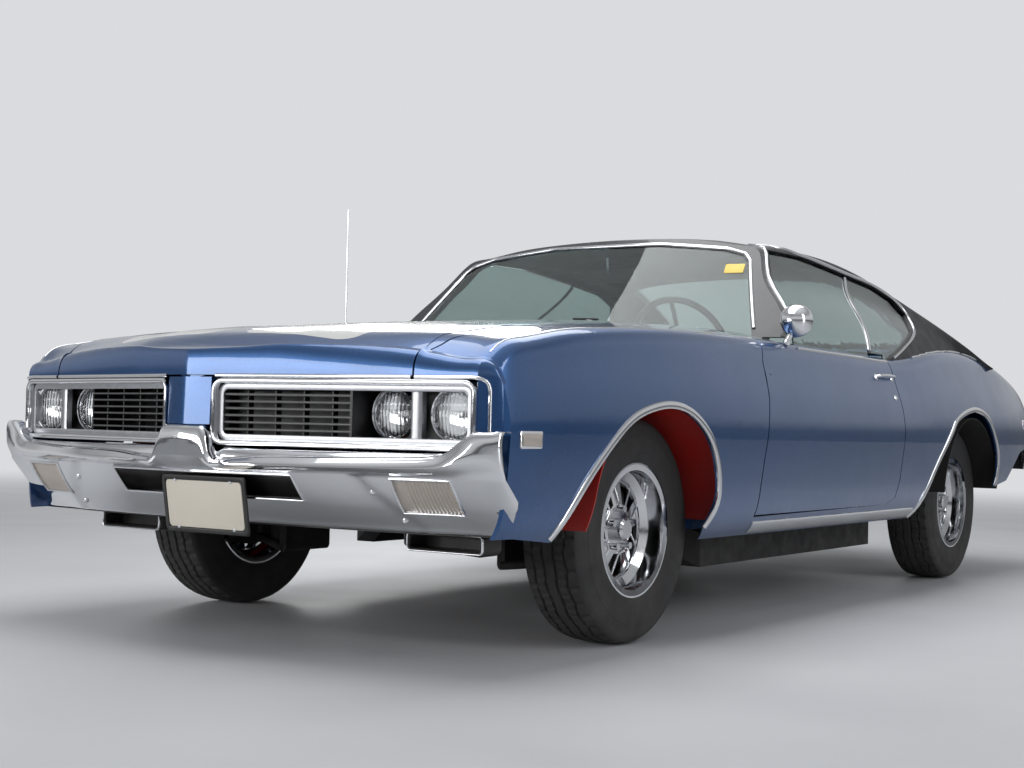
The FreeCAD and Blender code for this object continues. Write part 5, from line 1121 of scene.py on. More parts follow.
def front_bumper():
    """The bumper's skin, with its slot and the openings for the turn lamps."""
    half = [SLOT_HALF * k / 44 for k in range(45)]
    half += spaced(SLOT_HALF, TURN_NEAR, 18)[1:] + spaced(TURN_NEAR, TURN_FAR, 10)[1:]
    ends = [k / 20 for k in range(1, 21)]
    columns = [("far", -e) for e in reversed(ends)] + [("at", -x) for x in reversed(half)]
    columns += [("at", x) for x in half[1:]] + [("far", e) for e in ends]
    rows = [("low", z, extra) for z, extra in LOW_ROWS] + [("high", part, 0) for part in HIGH_ROWS]
    rows += [("shelf", back, rise) for back, rise in SHELF_ROWS]
    front, back = grids(rows, columns, bumper_place)
    missing = set()
    for j in range(len(columns) - 1):
        flat = columns[j][0] == "at" and columns[j + 1][0] == "at"
        centre = abs(columns[j][1] + columns[j + 1][1]) / 2
        if flat and centre < SLOT_HALF:
            missing |= {(i, j) for i in range(SLOT_ROW, HOLE_TOP)}
        if flat and TURN_NEAR < centre < TURN_FAR:
            missing |= {(i, j) for i in range(TURN_ROW, HOLE_TOP)}
    made = between("bumper_face", front, back, chrome, "car", missing=missing, sharp=40)
    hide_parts("front_bumper")


def opening_lip(name, near, far, low):
    """A bright bead round an opening in the bumper's face, from low up to the slot's top."""
    corners = [Vector(c) for c in ((near, low), (far, low), (far, SLOT_HIGH), (near, SLOT_HIGH))]
    out = Vector((0, -0.75, -0.66))
    spots = [(Vector((p.x, bumper_face(p.x, p.y), p.y)), out) for p in looped(corners, 0.03)]
    bead(name, spots, 0.007, 0.0042, chrome, "car", closed=True, sink=0.006)


def turn_lens(side, sign):
    """A ribbed lens in the bumper's opening, and its backing."""
    def lens(i, j):
        x = lerp(TURN_NEAR + LENS_EDGE, TURN_FAR - LENS_EDGE, j / LENS_COLUMNS)
        z = lerp(TURN_LOW + LENS_EDGE, SLOT_HIGH - LENS_EDGE, i / LENS_ROWS)
        y = bumper_face(x, z)
        rib = RIB_DEPTH * abs(math.sin(math.pi * j / RIB_COLUMNS)) * lerp(0, 1, (j - 14) / 6)
        dish = 0.006 * (2 * i / LENS_ROWS - 1) ** 2
        return Vector((sign * x, y + 0.006 - rib + dish * 0.3, z)), Vector((sign * x, y + 0.014, z))

    def backing(z, x):
        y = bumper_face(x, z)
        return Vector((sign * x, y + 0.022, z)), Vector((sign * x, y + 0.026, z))

    front, back = grids(range(LENS_ROWS + 1), range(LENS_COLUMNS + 1), lens)
    made = between(f"turn_lens_{side}", front, back, turn_glass, "car")
    front, back = grids(spaced(TURN_LOW, SLOT_HIGH, 2), spaced(TURN_NEAR, TURN_FAR, 4), backing)
    between(f"turn_backing_{side}", front, back, satin_silver, "car", "chrome")
    return made


def bumper_openings():
    """What fills and rims the openings in the bumper, and the bolts beside them."""
    for side, sign in SIDES:
        turn_lens(side, sign)
        opening_lip(f"turn_lip_{side}", sign * TURN_NEAR, sign * TURN_FAR, TURN_LOW)
        for k, (x, z) in enumerate(BOLT_PLACES):
            place = Vector((sign * x, bumper_face(x, z), z))
            turned(f"bumper_bolt_{side}_{k}", BOLT, place, BOLT_WAY, chrome, "car", steps=24)
    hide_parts("turn_lamps")
    opening_lip("slot_lip", -SLOT_HALF, SLOT_HALF, SLOT_LOW)

    def place(row, x):
        y = bumper_face(x, row[0]) + row[1]
        return Vector((x, y, row[0])), Vector((x, y + 0.004, row[0]))

    front, back = grids(SLOT_BACKING, spaced(-SLOT_HALF - 0.10, SLOT_HALF + 0.10, 20), place)
    between("slot_backing", front, back, grille_black, "car")


def lower_valance():
    """A plate from the bumper's lip back under the nose, with an open-mouthed scoop below each side."""
    def place(lift, x):
        y, z = bumper_face(x, BUMPER_LOW) + 0.012, VALANCE_HEIGHT + lift
        back = VALANCE_BACK if abs(x) > VALANCE_STEP else VALANCE_BACK_MIDDLE
        return Vector((x, y, z)), Vector((x, back, z))

    front, back = grids((0.0, 0.0035), spaced(-VALANCE_HALF, VALANCE_HALF, 40), place)
    made = between("valance_plate", front, back, valance_black, "car")
    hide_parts("front_valance")
    for side, sign in SIDES:
        rings = []
        for inset, y in SCOOP:
            outline = round_corners(0.256 - 2 * inset, 0.054 - 2 * inset, 0.014 - inset * 0.5)
            rings.append([Vector((sign * SCOOP_ACROSS + p.x, y, SCOOP_HEIGHT + p.y)) for p in outline])
        Form().rings(rings).made(f"scoop_{side}", valance_black, "car")
        spots = []
        for p in looped(round_corners(0.250, 0.048, 0.011), 0.04):
            at = Vector((sign * SCOOP_ACROSS + p.x, SCOOP_MOUTH, SCOOP_HEIGHT + p.y))
            spots.append((at, Vector((0, -1, 0))))
        bead(f"scoop_outline_{side}", spots, 0.0055, 0.003, bright_trim, "car", closed=True, sink=0.002)


front_bumper()
bumper_openings()
lower_valance()


# Bare plates
PLATE_BOLT = ((0.0004, 0.0055), (0.0035, 0.005), (0.005, 0.003), (0.005, -0.002), (0.0004, -0.002))
PLATE_BOLTS = ((-0.105, 0.066), (0.105, 0.066), (-0.105, -0.066), (0.105, -0.066))


def plate(name, centre, way):
    """A blank plate in a dark frame, with four bolts."""
    right, up = axes(way)
    way, centre = Vector(way).normalized(), Vector(centre)
    tile(name + "_frame", centre - way * 0.0015, way, 0.316, 0.162, 0.003, 0.010, grille_black, "car")
    tile(name + "_sheet", centre + way * 0.0008, way, 0.286, 0.132, 0.002, 0.012, plate_cream, "car")
    rim = looped(round_corners(0.302, 0.148, 0.010), 0.05)
    spots = [(centre + right * p.x + up * p.y, way) for p in rim]
    bead(name + "_rim", spots, 0.013, 0.003, grille_black, "car", closed=True, flat=0.5)
    for k, (x, y) in enumerate(PLATE_BOLTS):
        turned(f"{name}_bolt_{k}", PLATE_BOLT, centre + right * x + up * y, way, bright_trim, "car", steps=14)


plate("front_plate", (0.004, -2.4615, 0.397), (0, -1, -0.17))
for side, sign in SIDES:
    stay = ((-2.459, 0.402), (-2.43, 0.400), (bumper_face(0.085, 0.40) + 0.004, 0.400))
    rope(f"plate_stay_{side}", [(sign * 0.085, y, z) for y, z in stay], 0.006, under_black, "car")
plate("rear_plate", (0.0, 2.475, 0.700), (0, 1, 0.05))


# Tyres with tread
TYRE_WALL = ((-0.083, 0.1815), (-0.087, 0.188), (-0.0915, 0.196), (-0.0935, 0.203), (-0.0965, 0.216),
             (-0.0978, 0.228), (-0.0984, 0.2285), (-0.0990, 0.240), (-0.0990, 0.262), (-0.0984, 0.2735),
             (-0.0976, 0.274), (-0.0958, 0.292), (-0.0930, 0.304), (-0.0932, 0.308), (-0.0905, 0.314),
             (-0.0885, 0.319), (-0.0835, 0.3245))
TYRE_INSIDE = ((0.081, 0.1815), (0.070, 0.200), (0.0, 0.300), (-0.070, 0.200), (-0.081, 0.1815))
TREAD_HALF, TREAD_CROWN, TREAD_AROUND = 0.080, 0.0075, 320
GROOVES, GROOVE_HALF, GROOVE_DEPTH = (-0.052, -0.018, 0.018, 0.052), 0.0030, 0.007


def tread_radius(k, across):
    """How far the tread reaches at one of its places around and at one across it."""
    wave = abs((k / 8) % 2 - 1) - 0.5
    radius = TYRE - TREAD_CROWN * abs(across / TREAD_HALF) ** 3.2
    for groove in GROOVES:
        if abs(across - groove - wave * 0.006) < GROOVE_HALF:
            radius -= GROOVE_DEPTH
    if k % 4 == 0 and 0.020 < abs(across) < 0.050:
        radius -= 0.0025
    if k % 8 < 2 and abs(across) > 0.056:
        radius -= 0.005
    return radius


def tyre(name, sign, axle):
    centre = Vector((sign * WHEEL_PLANE, axle, TYRE))
    tread = [-TREAD_HALF + 2 * TREAD_HALF * k / 44 for k in range(45)]
    rings = []
    for k in range(TREAD_AROUND):
        turn = 2 * math.pi * k / TREAD_AROUND
        profile = list(TYRE_WALL) + [(across, tread_radius(k, across)) for across in tread]
        profile += [(-across, radius) for across, radius in reversed(TYRE_WALL)] + list(TYRE_INSIDE)
        rings.append([centre + Vector((a, math.cos(turn) * r, math.sin(turn) * r)) for a, r in profile])
    made = Form().rings(rings, True).made("tread_" + name, tyre_rubber, "road_wheel_" + name, sharp=40)
    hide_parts("tyre_" + name)


for name, sign, axle in WHEELS:
    tyre(name, sign, axle)


# Small fittings on the body
HANDLE_LINE = ((0.150, 0.848, -0.002), (0.158, 0.849, 0.014), (0.185, 0.850, 0.019), (0.235, 0.850, 0.021),
               (0.285, 0.850, 0.019), (0.312, 0.849, 0.014), (0.320, 0.848, -0.002))
HANDLE_FOOT = ((0.0005, 0.004), (0.010, 0.004), (0.013, 0.001), (0.013, -0.003), (0.0005, -0.003))
DOOR_LOCK = ((0.0005, 0.004), (0.008, 0.004), (0.011, 0.001), (0.011, -0.003), (0.0005, -0.003))
DOOR_INSIDE = 0.7895
CRANK_LINE = ((0.006, -0.42, 0.60), (0.024, -0.42, 0.60), (0.028, -0.40, 0.585), (0.028, -0.33, 0.560),
              (0.042, -0.325, 0.558))
MARKERS = (("front", -2.246, 0.596, turn_glass), ("rear", 2.170, 0.690, red_glass))
WIPERS, WIPER_REACH, WIPER_FOOT = (("left", 0.50), ("right", -0.10)), -0.42, -0.700
WIPER_PIVOT = ((0.0005, 0.020), (0.010, 0.018), (0.013, 0.010), (0.014, -0.004), (0.0005, -0.004))
LABEL_PIXEL = (734.5, 268.5)
VIEW_MIRROR_WAY, GAUGE_WAY, RADIO_WAY, GLOVE_WAY = (0.12, 1, -0.1), (0, 1, 0.12), (0, 1, 0.15), (0, 1, 0.14)
GAUGES = ((0.260, 0.040), (0.370, 0.046), (0.480, 0.040))
GAUGE_RING = ((-0.004, 0.004), (-0.002, 0.010), (0.002, 0.010), (0.004, 0.0), (0.004, -0.006),
              (-0.004, -0.006))
RADIO_KNOB = ((0.0005, 0.024), (0.009, 0.024), (0.011, 0.020), (0.012, 0.0), (0.0005, 0.0))
MIRROR_AT = Vector((0.905, -0.575, 1.012))
MIRROR_HEAD = ((0.0005, 0.062), (0.020, 0.059), (0.036, 0.050), (0.048, 0.036), (0.0555, 0.018), (0.058, 0.0),
               (0.057, -0.006), (0.053, -0.008), (0.052, -0.002), (0.0005, -0.002))
MIRROR_FACE = ((0.0005, 0.0015), (0.0515, 0.0015), (0.0515, -0.001), (0.0005, -0.001))
MIRROR_STEM = ((0.880, -0.600, 0.930), (0.886, -0.600, 0.950), (0.897, -0.597, 0.972))
CREST_FRONT, CREST_BACK, CREST_INSET = -2.325, -0.835, 0.030
WHEEL_WINDOW = ((0.074, -0.012), (0.078, -0.019), (0.110, -0.038), (0.132, -0.052), (0.140, -0.044),
                (0.1425, 0), (0.140, 0.044), (0.132, 0.052), (0.110, 0.038), (0.078, 0.019), (0.074, 0.012))
WINDOW_MIDDLE = Vector((0.112, 0))
WINDOW_LIP = ((-0.003, -0.010), (-0.003, 0.002), (-0.001, 0.0045), (0.002, 0.005), (0.005, 0.0035),
              (0.0065, -0.001), (0.0065, -0.010))
HINGE_LOW, HINGE_HIGH, HINGE_FRONT, HINGE_BACK = 0.748, 0.832, -0.90, -0.790
BEHIND, BACKWARD = 2.70, Vector((0, 1, 0))
TAIL_SPAN, TAIL_GAP = (0.40, 0.74), 0.006


def door_fittings():
    for side, sign in SIDES:
        body, door = side + "_door", Surface("door_" + side)
        grip = []
        for y, z, rise in HANDLE_LINE:
            place, out, _ = door.across(sign, y, z)
            grip.append(place + out * rise)
        rope(f"door_handle_{side}", through(grip, 6), 0.0075, chrome, body, flat=0.75)
        for k, y in enumerate((0.154, 0.316)):
            place, out, _ = door.across(sign, y, 0.848)
            turned(f"handle_foot_{side}_{k}", HANDLE_FOOT, place, out, chrome, body, steps=24)
        place, out, _ = door.across(sign, 0.300, 0.772)
        turned(f"door_lock_{side}", DOOR_LOCK, place, out, chrome, body, steps=24)
        inner, way = sign * DOOR_INSIDE, (-sign, 0, 0)
        tile(f"door_card_{side}", (inner, -0.235, 0.655), way, 1.09, 0.44, 0.011, 0.03, trim_vinyl, body,
             edge=0.004)
        at = (inner - sign * 0.028, -0.080, 0.630)
        tile(f"door_armrest_{side}", at, way, 0.42, 0.062, 0.050, 0.02, seat_vinyl, body, edge=0.012)
        at = (inner - sign * 0.006, -0.235, 0.735)
        tile(f"door_card_strip_{side}", at, way, 1.02, 0.012, 0.005, 0.003, bright_trim, body)
        crank = through([(inner - sign * x, y, z) for x, y, z in CRANK_LINE], 4)
        rope(f"window_crank_{side}", crank, 0.006, chrome, body)


def side_markers():
    for side, sign in SIDES:
        for label, y, z, finish in MARKERS:
            panel = Surface("fender_" + side if label == "front" else "body_shell")
            place, out, _ = panel.across(sign, y, z)
            tile(f"marker_rim_{label}_{side}", place, out, 0.088, 0.046, 0.008, 0.006, chrome, "car",
                 edge=0.003)
            place += out * 0.004
            tile(f"marker_lens_{label}_{side}", place, out, 0.074, 0.033, 0.006, 0.004, finish, "car",
                 edge=0.002)


def wipers():
    screen, cowl = Surface("windshield", "windshield_frame"), Surface("cowl", "windshield")
    way = Vector((0, 1, -0.02)).normalized()
    for label, x in WIPERS:
        foot, out, _ = cowl.above(x, WIPER_FOOT)
        turned(f"wiper_pivot_{label}", WIPER_PIVOT, foot, out, satin_silver, "car", steps=20)
        line = []
        for part in spaced(0, 1, 8):
            start = Vector((x + WIPER_REACH * part, -1.4, 1.0 + 0.035 * math.sin(part * 1.4)))
            line += [place + normal * 0.010 for place, normal in met([screen.hit(start, way)])]
        rope(f"wiper_arm_{label}", [foot + out * 0.014] + line[2:6], 0.0035, satin_silver, "car")
        rope(f"wiper_blade_{label}", line[1:], 0.004, moulded_black, "car")


def cabin_fittings():
    """The rear-view mirror, the label on the windshield, and what's on the dashboard."""
    way = VIEW_MIRROR_WAY
    tile("rear_view_mirror", (0.0, -0.300, 1.222), way, 0.240, 0.052, 0.014, 0.018, moulded_black, "car",
         edge=0.005)
    tile("rear_view_glass", (0.0009, -0.2925, 1.2212), way, 0.228, 0.042, 0.002, 0.014, chrome, "car")
    stalk = through([(0.0, -0.308, 1.226), (0.0, -0.318, 1.250), (0.0, -0.325, 1.292)], 5)
    rope("mirror_stalk", stalk, 0.006, satin_silver, "car")
    place, out, _ = Surface("windshield").hit(CAMERA_AT, sight(*LABEL_PIXEL))
    tile("blank_label", place + out * 0.0006, out, 0.072, 0.050, 0.001, 0.004, label_yellow, "car",
         edge=0.0004)
    for k, (x, radius) in enumerate(GAUGES):
        at = (x, -0.437, 0.842)
        ring = [(radius + out, height) for out, height in GAUGE_RING]
        turned(f"gauge_ring_{k}", ring, at, GAUGE_WAY, chrome, "car", closed=True)
        face = [(0.0005, 0.003), (radius - 0.003, 0.003), (radius - 0.003, -0.004), (0.0005, -0.004)]
        turned(f"gauge_face_{k}", face, at, GAUGE_WAY, dial_face, "car")
    at = (0.0, -0.441, 0.800)
    tile("radio_panel", at, RADIO_WAY, 0.200, 0.062, 0.010, 0.006, satin_silver, "car", edge=0.002)
    for k, x in enumerate((-0.078, 0.078)):
        turned(f"radio_knob_{k}", RADIO_KNOB, (x, -0.436, 0.800), RADIO_WAY, chrome, "car", steps=24)
    at = (-0.400, -0.444, 0.815)
    tile("glove_lid", at, GLOVE_WAY, 0.330, 0.110, 0.010, 0.012, trim_vinyl, "car", "black_plastic",
         edge=0.003)
    tile("glove_button", (-0.400, -0.436, 0.845), GLOVE_WAY, 0.026, 0.026, 0.008, 0.012, chrome, "car")


def side_mirror():
    """A rounded bright head on a stem at the front of the left belt."""
    body, face = "left_door", MIRROR_AT + Vector((0, 0.003, 0))
    made = turned("mirror_head", MIRROR_HEAD, MIRROR_AT, (0.10, -1, 0), chrome, body, steps=48)
    turned("mirror_face", MIRROR_FACE, face, (-0.10, 1, 0), satin_silver, body, "chrome", steps=48)
    rope("mirror_stem", through(MIRROR_STEM, 5), [0.013] * 4 + [0.010] * 7, chrome, body)
    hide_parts("door_mirror")


def crest_mouldings():
    """A thin bright line along each fender's crest, from the lamps to the windshield."""
    for side, sign in SIDES:
        surface = Surface("fender_" + side)
        spots = []
        for y in spaced(CREST_FRONT, CREST_BACK, 60):
            x = smooth(CREST_WIDTH_SHARES, y / LONG) * WIDE - CREST_INSET
            spots += met([surface.above(sign * x, y)])
        bead(f"crest_moulding_{side}", spots, 0.006, 0.0025, bright_trim, "car")


def wheel_trim():
    """Raised lips round the wheel's windows."""
    outline = through(WHEEL_WINDOW, 4, closed=True)
    for name, sign, axle in WHEELS:
        centre = Vector((sign * (WHEEL_PLANE - 0.093), axle, TYRE))
        form = Form()
        for k in range(5):
            rings = []
            for j, p in enumerate(outline):
                way = (outline[(j + 1) % len(outline)] - outline[j - 1]).normalized()
                outward = Vector((way.y, -way.x))
                if outward.dot(p - WINDOW_MIDDLE) < 0:
                    outward = -outward
                ring = []
                for across, rise in WINDOW_LIP:
                    spot = p + outward * across
                    radius = spot.length
                    height = 0.128 - max(0.0, radius - 0.062) * 0.2387 + rise
                    turn = math.atan2(spot.y, spot.x) + 2 * math.pi * k / 5
                    reach = Vector((sign * height, math.cos(turn) * radius * sign, math.sin(turn) * radius))
                    ring.append(centre + reach)
                rings.append(ring)
            form.rings(rings, True)
        form.made("window_lips_" + name, wheel_chrome, "road_wheel_" + name)


def hinge_covers():
    """The door skin over its upper hinge pocket."""
    for side, sign in SIDES:
        surface = Surface("door_" + side)
        edges = []
        for z in (HINGE_LOW, HINGE_HIGH):
            y = HINGE_FRONT
            while y < HINGE_BACK and not surface.across(sign, y, z):
                y += 0.0005
            edges.append(y + 0.001)

        def place(part, back):
            y, z = lerp(lerp(*edges, part), HINGE_BACK, back), lerp(HINGE_LOW, HINGE_HIGH, part)
            lower = surface.across(sign, max(y, edges[0]), HINGE_LOW)[0].x
            upper = surface.across(sign, max(y, edges[1]), HINGE_HIGH)[0].x
            x = lerp(lower, upper, part) + sign * (0.0003 + 0.0032 * part * (1 - part))
            return Vector((x, y, z)), Vector((x - sign * 0.002, y, z))

        front, behind = grids(spaced(0, 1, 8), spaced(0, 1, 8), place)
        between(f"hinge_cover_{side}", front, behind, body_paint, side + "_door")


def rear_bumper_lines():
    """Two folds along the rear bumper's face."""
    surface = Surface("rear_bumper")
    for label, z, width, height in (("upper", 0.578, 0.016, 0.006), ("lower", 0.500, 0.012, 0.005)):
        found = met(surface.hit(Vector((x, BEHIND, z)), -BACKWARD) for x in spaced(-0.86, 0.86, 60))
        spots = [(place - BACKWARD * 0.0065, out) for place, out in found]
        bead(f"rear_bumper_fold_{label}", spots, width, height, chrome, "car", sink=0.004)


def tail_lamp_trim():
    """A bright frame and upright bars on each tail lamp."""
    surface = Surface("tail_lamps")
    low, high = (corner[2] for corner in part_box("tail_lamps"))
    middle = (low + high) / 2
    for side, sign in SIDES:
        runs, before = [], None
        for x in (sign * across for across in spaced(*TAIL_SPAN, 119)):
            found = surface.hit(Vector((x, BEHIND, middle)), -BACKWARD)
            if not found:
                continue
            if before is None or abs(x - before) > TAIL_GAP:
                runs.append([])
            runs[-1].append((x, found[0].y))
            before = x
        for k, run in enumerate(runs):
            near, far = sorted((run[0][0], run[-1][0]))
            y = sum(spot[1] for spot in run) / len(run)
            ring = straight(round_corners(far - near + 0.006, high - low + 0.004, 0.008, 4), 0.03)[:-1]
            spots = [(Vector(((near + far) / 2 + p.x, y - 0.001, middle + p.y)), BACKWARD) for p in ring]
            bead(f"tail_lamp_frame_{side}_{k}", spots, 0.010, 0.006, chrome, "car", closed=True, sink=0.006)
            for third in (1, 2):
                x = lerp(near, far, third / 3)
                spots = [(Vector((x, y, z)), BACKWARD) for z in spaced(low + 0.006, high - 0.006, 6)]
                bead(f"tail_lamp_bar_{side}_{k}_{third}", spots, 0.004, 0.003, chrome, "car")


door_fittings()
hinge_covers()
rear_bumper_lines()
tail_lamp_trim()
side_mirror()
crest_mouldings()
wheel_trim()
side_markers()
wipers()
cabin_fittings()


# Seats
PAD_STATIONS = (-1, -0.97, -0.88, -0.70, -0.35, 0, 0.35, 0.70, 0.88, 0.97, 1)
PAD_CELL, PAD_FRAMES, PAD_FILL, SEAT_ACROSS = 0.010, 12, 0.8, 0.380


def pad_form(name, outline, half_width):
    """A closed pad from its side view's (y, z) outline, full between its ends."""
    middle = Vector([sum(values) / len(outline) for values in zip(*outline)])
    rings = []
    for across in PAD_STATIONS:
        shrink = 1 - 0.16 * max(0.0, (abs(across) - 0.7) / 0.3) ** 2
        places = [middle + (Vector(p) - middle) * shrink for p in outline]
        rings.append([Vector((across * half_width, p.x, p.y)) for p in places])
    return Form().rings(rings).made(name, seat_vinyl, "car", sharp=80)


def swell(pad, cap):
    """Cloth under pressure fills the pad out, by cap at most."""
    bpy.context.view_layer.objects.active = pad
    mesh_again = pad.modifiers.new("remesh", "REMESH")
    mesh_again.mode, mesh_again.voxel_size = "VOXEL", PAD_CELL
    bpy.context.view_layer.update()
    graph = bpy.context.evaluated_depsgraph_get()
    fresh = bpy.data.meshes.new_from_object(pad.evaluated_get(graph))
    pad.modifiers.clear()
    pad.data = fresh
    rest = [v.co.copy() for v in pad.data.vertices]
    cloth = pad.modifiers.new("cloth", "CLOTH")
    cloth.settings.use_pressure = True
    cloth.settings.uniform_pressure_force = 4
    cloth.settings.effector_weights.gravity = 0
    cloth.settings.quality = 4
    scene = bpy.context.scene
    for step in range(PAD_FRAMES):
        scene.frame_set(step + 1)
    graph = bpy.context.evaluated_depsgraph_get()
    blown = bpy.data.meshes.new_from_object(pad.evaluated_get(graph))
    pad.modifiers.clear()
    pad.data = blown
    scene.frame_set(1)
    for vertex, start in zip(pad.data.vertices, rest):
        move = vertex.co - start
        if move.length > cap:
            vertex.co = start + move * (cap / move.length)


def channelled(pad, spacing, depth, width, band, way):
    """Sewn channels along the pad's facing side, from one side of the band to the other."""
    for vertex in pad.data.vertices:
        across = vertex.co.x / spacing
        near = abs(across - round(across)) * spacing
        inside = band[0] <= abs(vertex.co.x) < band[1]
        if inside and near < width and vertex.normal.dot(way) > 0.35:
            vertex.co -= way * (depth * (1 - near / width))


def finish_pad(pad, centre_x, node_name):
    """Puts a pad in its place as soft padding, with its cover on."""
    for vertex in pad.data.vertices:
        vertex.co.x += centre_x
    pad.data.materials.clear()
    pad.data.materials.append(seat_vinyl.material)
    pad.data.polygons.foreach_set("use_smooth", [True] * len(pad.data.polygons))
    soft = pad.modifiers.new("soft", "SUBSURF")
    soft.levels = soft.render_levels = 1
    if node_name:
        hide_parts(node_name)


def make_pad(name, outline, half_width, cap, channels, way, centre_x, node_name):
    """One pad; channels holds their spacing, depth, width and band."""
    pad = pad_form(name, outline, half_width)
    swell(pad, cap)
    channelled(pad, *channels, Vector(way).normalized())
    finish_pad(pad, centre_x, node_name)


FRONT_CUSHION = ((-0.172, 0.420), (-0.190, 0.470), (-0.180, 0.505), (-0.120, 0.528), (0.050, 0.505),
                 (0.175, 0.486), (0.200, 0.440), (0.190, 0.400), (0.0, 0.390))
FRONT_BACK = ((0.215, 0.500), (0.250, 0.640), (0.285, 0.800), (0.315, 0.895), (0.345, 0.912), (0.385, 0.905),
              (0.398, 0.860), (0.372, 0.700), (0.345, 0.520), (0.330, 0.420), (0.230, 0.425))
REAR_CUSHION = ((0.520, 0.500), (0.515, 0.570), (0.550, 0.615), (0.650, 0.622), (0.860, 0.600),
                (0.900, 0.590), (0.880, 0.575), (0.700, 0.575))
REAR_BACK = ((0.905, 0.615), (0.960, 0.740), (1.020, 0.880), (1.060, 0.918), (1.110, 0.922), (1.135, 0.880),
             (1.130, 0.720), (1.120, 0.600), (1.000, 0.585))


def seats():
    cushion, back = (0.062, 0.010, 0.012, (0, 0.19)), (0.062, 0.009, 0.012, (0, 0.17))
    bench = (0.100, 0.010, 0.014, (0.06, 0.49))
    for side, sign in SIDES:
        x, node_name = sign * SEAT_ACROSS, "front_seats" if sign > 0 else None
        make_pad(f"front_cushion_{side}", FRONT_CUSHION, 0.226, 0.014, cushion, (0, -0.1, 1), x, node_name)
        make_pad(f"front_backrest_{side}", FRONT_BACK, 0.222, 0.012, back, (0, -1, 0.2), x, None)
        at = (x, 0.0, 0.352)
        tile(f"seat_base_{side}", at, (0, 0, 1), 0.40, 0.34, 0.080, 0.02, moulded_black, "car", "seat_vinyl",
             edge=0.006)
        at = (sign * 0.612, 0.215, 0.455)
        tile(f"seat_hinge_cover_{side}", at, (sign, 0, 0), 0.070, 0.090, 0.012, 0.018, bright_trim, "car",
             edge=0.004)
    make_pad("rear_cushion", REAR_CUSHION, 0.550, 0.010, bench, (0, -0.1, 1), 0.0, "rear_seat")
    make_pad("rear_backrest", REAR_BACK, 0.550, 0.010, bench, (0, -1, 0.3), 0.0, None)


seats()

# Studio
STUDIO_COLOUR, FLOOR_HALF, FLOOR_GAP = rgb(0.70, 0.71, 0.73), 60, 0.0005
FADE_START, FADE_END = 5.0, 14.0
HORIZON = ((0.06, 0.13), (0.12, 0.50), (0.30, 0.62), (0.55, 0.30))


def share_of_rays(tree, *kinds):
    """1 for rays of these kinds, and 0 for others."""
    path = node(tree, "ShaderNodeLightPath")
    total = path.outputs[kinds[0]]
    for kind in kinds[1:]:
        total = maths(tree, "MAXIMUM", total, path.outputs[kind])
    return total


def make_world():
    """A pale backdrop for the camera, soft light all round, and a dark horizon for reflections."""
    world = bpy.data.worlds.new("studio")
    world.use_nodes = True
    tree = world.node_tree
    tree.nodes.clear()
    shown = node(tree, "ShaderNodeBackground", {"Color": STUDIO_COLOUR, "Strength": 1.0})
    light = node(tree, "ShaderNodeBackground", {"Color": (0.92, 0.95, 1.0, 1), "Strength": 0.34})
    place = node(tree, "ShaderNodeTexCoord")
    height = node(tree, "ShaderNodeSeparateXYZ", {"Vector": place.outputs["Generated"]})
    ramp = node(tree, "ShaderNodeValToRGB", {"Fac": height.outputs["Z"]})
    stops = ramp.color_ramp.elements
    stops[0].position, stops[0].color = 0.0, (0.10, 0.105, 0.115, 1)
    stops[1].position, stops[1].color = 1.0, (0.80, 0.82, 0.85, 1)
    for position, level in HORIZON:
        stop = stops.new(position)
        stop.color = (level * 0.97, level * 0.985, level, 1)
    mirrored = node(tree, "ShaderNodeBackground", {"Color": ramp.outputs["Color"], "Strength": 1.0})
    first = node(tree, "ShaderNodeMixShader", {
        "Fac": share_of_rays(tree, "Is Glossy Ray"),
        1: light.outputs["Background"], 2: mirrored.outputs["Background"]})
    second = node(tree, "ShaderNodeMixShader", {
        "Fac": share_of_rays(tree, "Is Camera Ray", "Is Transmission Ray"),
        1: first.outputs["Shader"], 2: shown.outputs["Background"]})
    node(tree, "ShaderNodeOutputWorld", {"Surface": second.outputs["Shader"]})
    bpy.context.scene.world = world


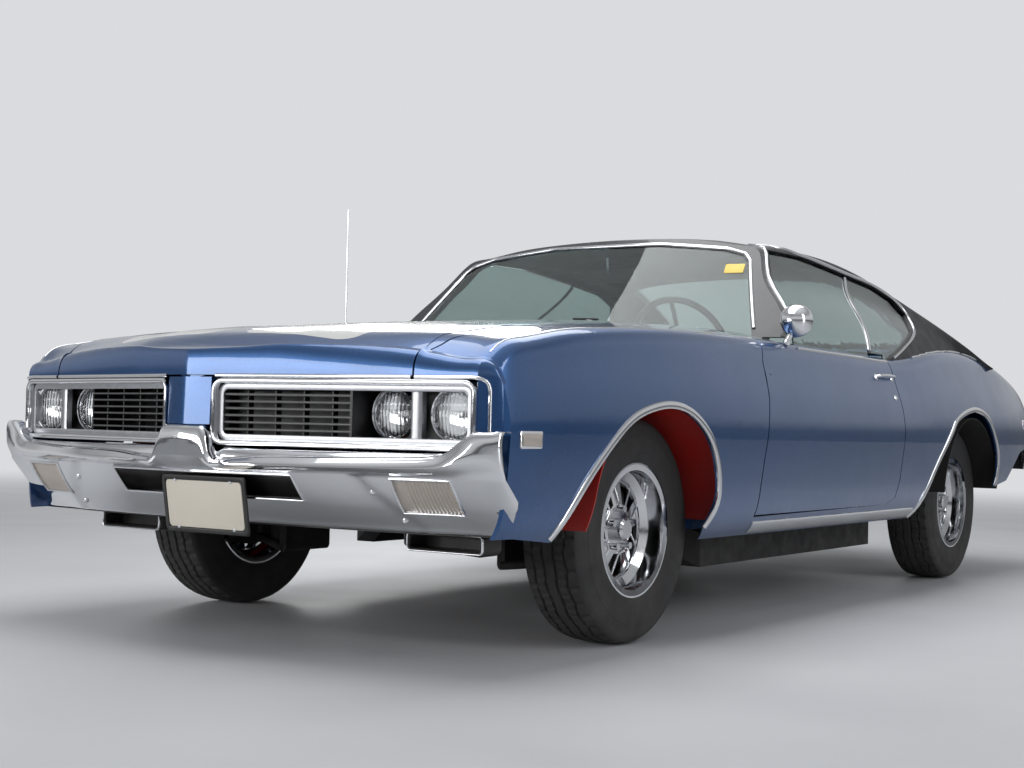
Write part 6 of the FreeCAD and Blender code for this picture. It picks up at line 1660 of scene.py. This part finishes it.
def make_floor():
    """A pale floor that runs out into the backdrop."""
    mesh = bpy.data.meshes.new("floor")
    form = bmesh.new()
    bmesh.ops.create_grid(form, x_segments=8, y_segments=8, size=FLOOR_HALF)
    form.to_mesh(mesh)
    form.free()
    floor = bpy.data.objects.new("floor", mesh)
    floor.location.z = -FLOOR_GAP
    bpy.context.scene.collection.objects.link(floor)
    made = Finish("studio_floor", Roughness=0.5, Specular_IOR_Level=0.25)
    made.uneven("Roughness", 0.38, 0.55, 1.5)
    made.drifting(rgb(0.56, 0.57, 0.585), rgb(0.61, 0.62, 0.635), 0.8, 6.0)
    away = node(made.tree, "ShaderNodeVectorMath", {0: own_place(made.tree)}, operation="LENGTH")
    fade = node(made.tree, "ShaderNodeMapRange", {
        "Value": away.outputs["Value"], "From Min": FADE_START, "From Max": FADE_END},
        interpolation_type="SMOOTHSTEP")
    glow = node(made.tree, "ShaderNodeEmission", {"Color": STUDIO_COLOUR, "Strength": 1.0})
    seen = share_of_rays(made.tree, "Is Camera Ray", "Is Transmission Ray")
    mix = node(made.tree, "ShaderNodeMixShader", {
        "Fac": maths(made.tree, "MULTIPLY", fade.outputs["Result"], seen),
        1: made.shader.outputs["BSDF"], 2: glow.outputs["Emission"]})
    made.tree.links.new(mix.outputs["Shader"], made.tree.nodes["Material Output"].inputs["Surface"])
    mesh.materials.append(made.material)


def lamp(name, place, target, width, height, power):
    data = bpy.data.lights.new(name, "AREA")
    data.shape, data.size, data.size_y, data.energy = "RECTANGLE", width, height, power
    made = bpy.data.objects.new(name, data)
    bpy.context.scene.collection.objects.link(made)
    way = Vector(target) - Vector(place)
    made.matrix_world = Matrix.Translation(Vector(place)) @ way.to_track_quat("-Z", "Y").to_matrix().to_4x4()


make_world()
make_floor()
lamp("overhead_light", (0, -0.3, 4.2), (0, 0, 0), 2.6, 6.5, 150)
lamp("front_light", (-2.0, -7.5, 1.6), (0, -1, 0.2), 5.0, 1.6, 150)
lamp("side_light", (7.5, -1.5, 3.0), (0, 0, 0.6), 1.6, 6.0, 150)
lamp("back_light", (-5.5, 5.5, 3.4), (0, 0, 0.6), 3.0, 2.0, 90)

scene = bpy.context.scene
scene.view_settings.view_transform = "Standard"
